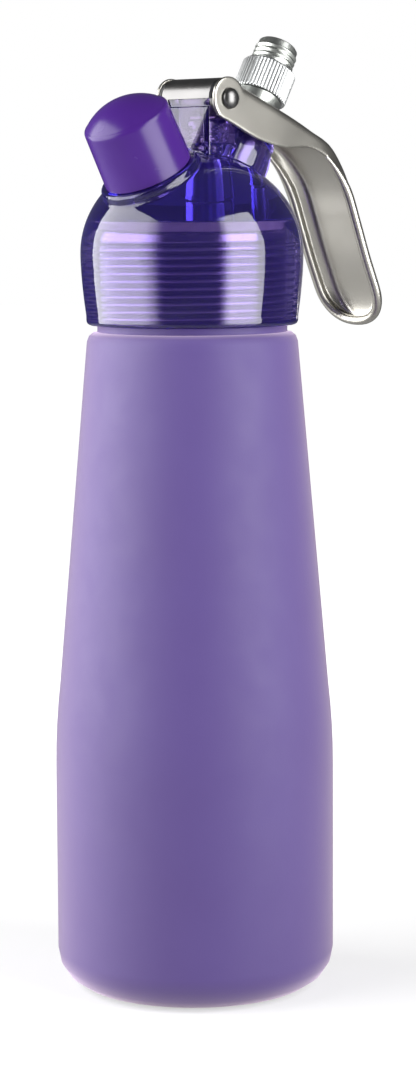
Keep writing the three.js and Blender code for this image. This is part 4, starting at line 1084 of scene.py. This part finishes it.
def floor():
    """A pale round floor. Away from the object it glows to the camera, so that it stays white."""
    mesh = bmesh.new()
    bmesh.ops.create_circle(mesh, cap_ends=True, segments=ROD_SIDES, radius=FLOOR_RADIUS)
    data = bpy.data.meshes.new("floor")
    mesh.to_mesh(data)
    mesh.free()
    finish = Finish("pale_floor", (0.42, 0.42, 0.42), roughness=0.9)
    finish.rough(finish.noise(0.2), 0.8, 0.95)
    finish.shader.inputs["Emission Color"].default_value = (1, 1, 1, 1)
    distance = finish.node("ShaderNodeVectorMath", operation="LENGTH")
    finish.link(finish.place, distance, 0)
    glow = finish.mapped(distance.outputs["Value"], GLOW_START, GLOW_END, GLOW_LOW, 1, "SMOOTHSTEP")
    seen = finish.node("ShaderNodeMath", operation="MULTIPLY")
    finish.link(glow, seen, 0)
    finish.link(finish.node("ShaderNodeLightPath").outputs["Is Camera Ray"], seen, 1)
    finish.link(seen.outputs[0], finish.shader, "Emission Strength")
    data.materials.append(finish.material)
    piece = placed("floor", data)
    piece.location.z = -FLOOR_GAP


def surround():
    """White to the camera and through clear plastic, dim grey to all else."""
    world = bpy.data.worlds.new("surround")
    bpy.context.scene.world = world
    world.use_nodes = True
    tree = world.node_tree
    dim = tree.nodes["Background"]
    dim.inputs["Color"].default_value = (*SURROUND_COLOR, 1)
    dim.inputs["Strength"].default_value = SURROUND_DIM
    backing = tree.nodes.new("ShaderNodeBackground")
    backing.inputs["Strength"].default_value = SURROUND_THROUGH
    white = tree.nodes.new("ShaderNodeBackground")
    for shader in (white, backing):
        shader.inputs["Color"].default_value = (1, 1, 1, 1)
    rays = tree.nodes.new("ShaderNodeLightPath")
    through = tree.nodes.new("ShaderNodeMixShader")
    tree.links.new(rays.outputs["Is Transmission Ray"], through.inputs[0])
    tree.links.new(dim.outputs[0], through.inputs[1])
    tree.links.new(backing.outputs[0], through.inputs[2])
    seen = tree.nodes.new("ShaderNodeMixShader")
    tree.links.new(rays.outputs["Is Camera Ray"], seen.inputs[0])
    tree.links.new(through.outputs[0], seen.inputs[1])
    tree.links.new(white.outputs[0], seen.inputs[2])
    tree.links.new(seen.outputs[0], tree.nodes["World Output"].inputs["Surface"])


def camera():
    """The photograph's viewpoint: level with the shoulder, a little above, 45 degrees round."""
    azimuth, elevation, roll = map(math.radians, (CAMERA_AZIMUTH, CAMERA_ELEVATION, CAMERA_ROLL))
    flat = math.cos(elevation)
    back = Vector((math.sin(azimuth) * flat, -math.cos(azimuth) * flat, math.sin(elevation)))
    level = Vector((math.cos(azimuth), math.sin(azimuth), 0))
    up = back.cross(level)
    right = level * math.cos(roll) + up * math.sin(roll)
    above = up * math.cos(roll) - level * math.sin(roll)
    data = bpy.data.cameras.new("camera")
    data.sensor_fit = "VERTICAL"
    data.sensor_height = CAMERA_FRAME
    data.lens = CAMERA_LENS
    eye = placed("camera", data)
    axes = Matrix((right, above, back)).transposed().to_4x4()
    eye.matrix_world = Matrix.Translation(TARGET + CAMERA_DISTANCE * back) @ axes
    bpy.context.scene.camera = eye


camera()
surround()
floor()
soft_box("left_soft_box", azimuth=-76, width=1, radiance=5.6, fade=0.35)
soft_box("right_soft_box", azimuth=54, width=0.46, radiance=7, fade=0.3)

bpy.context.scene.view_settings.view_transform = "Standard"
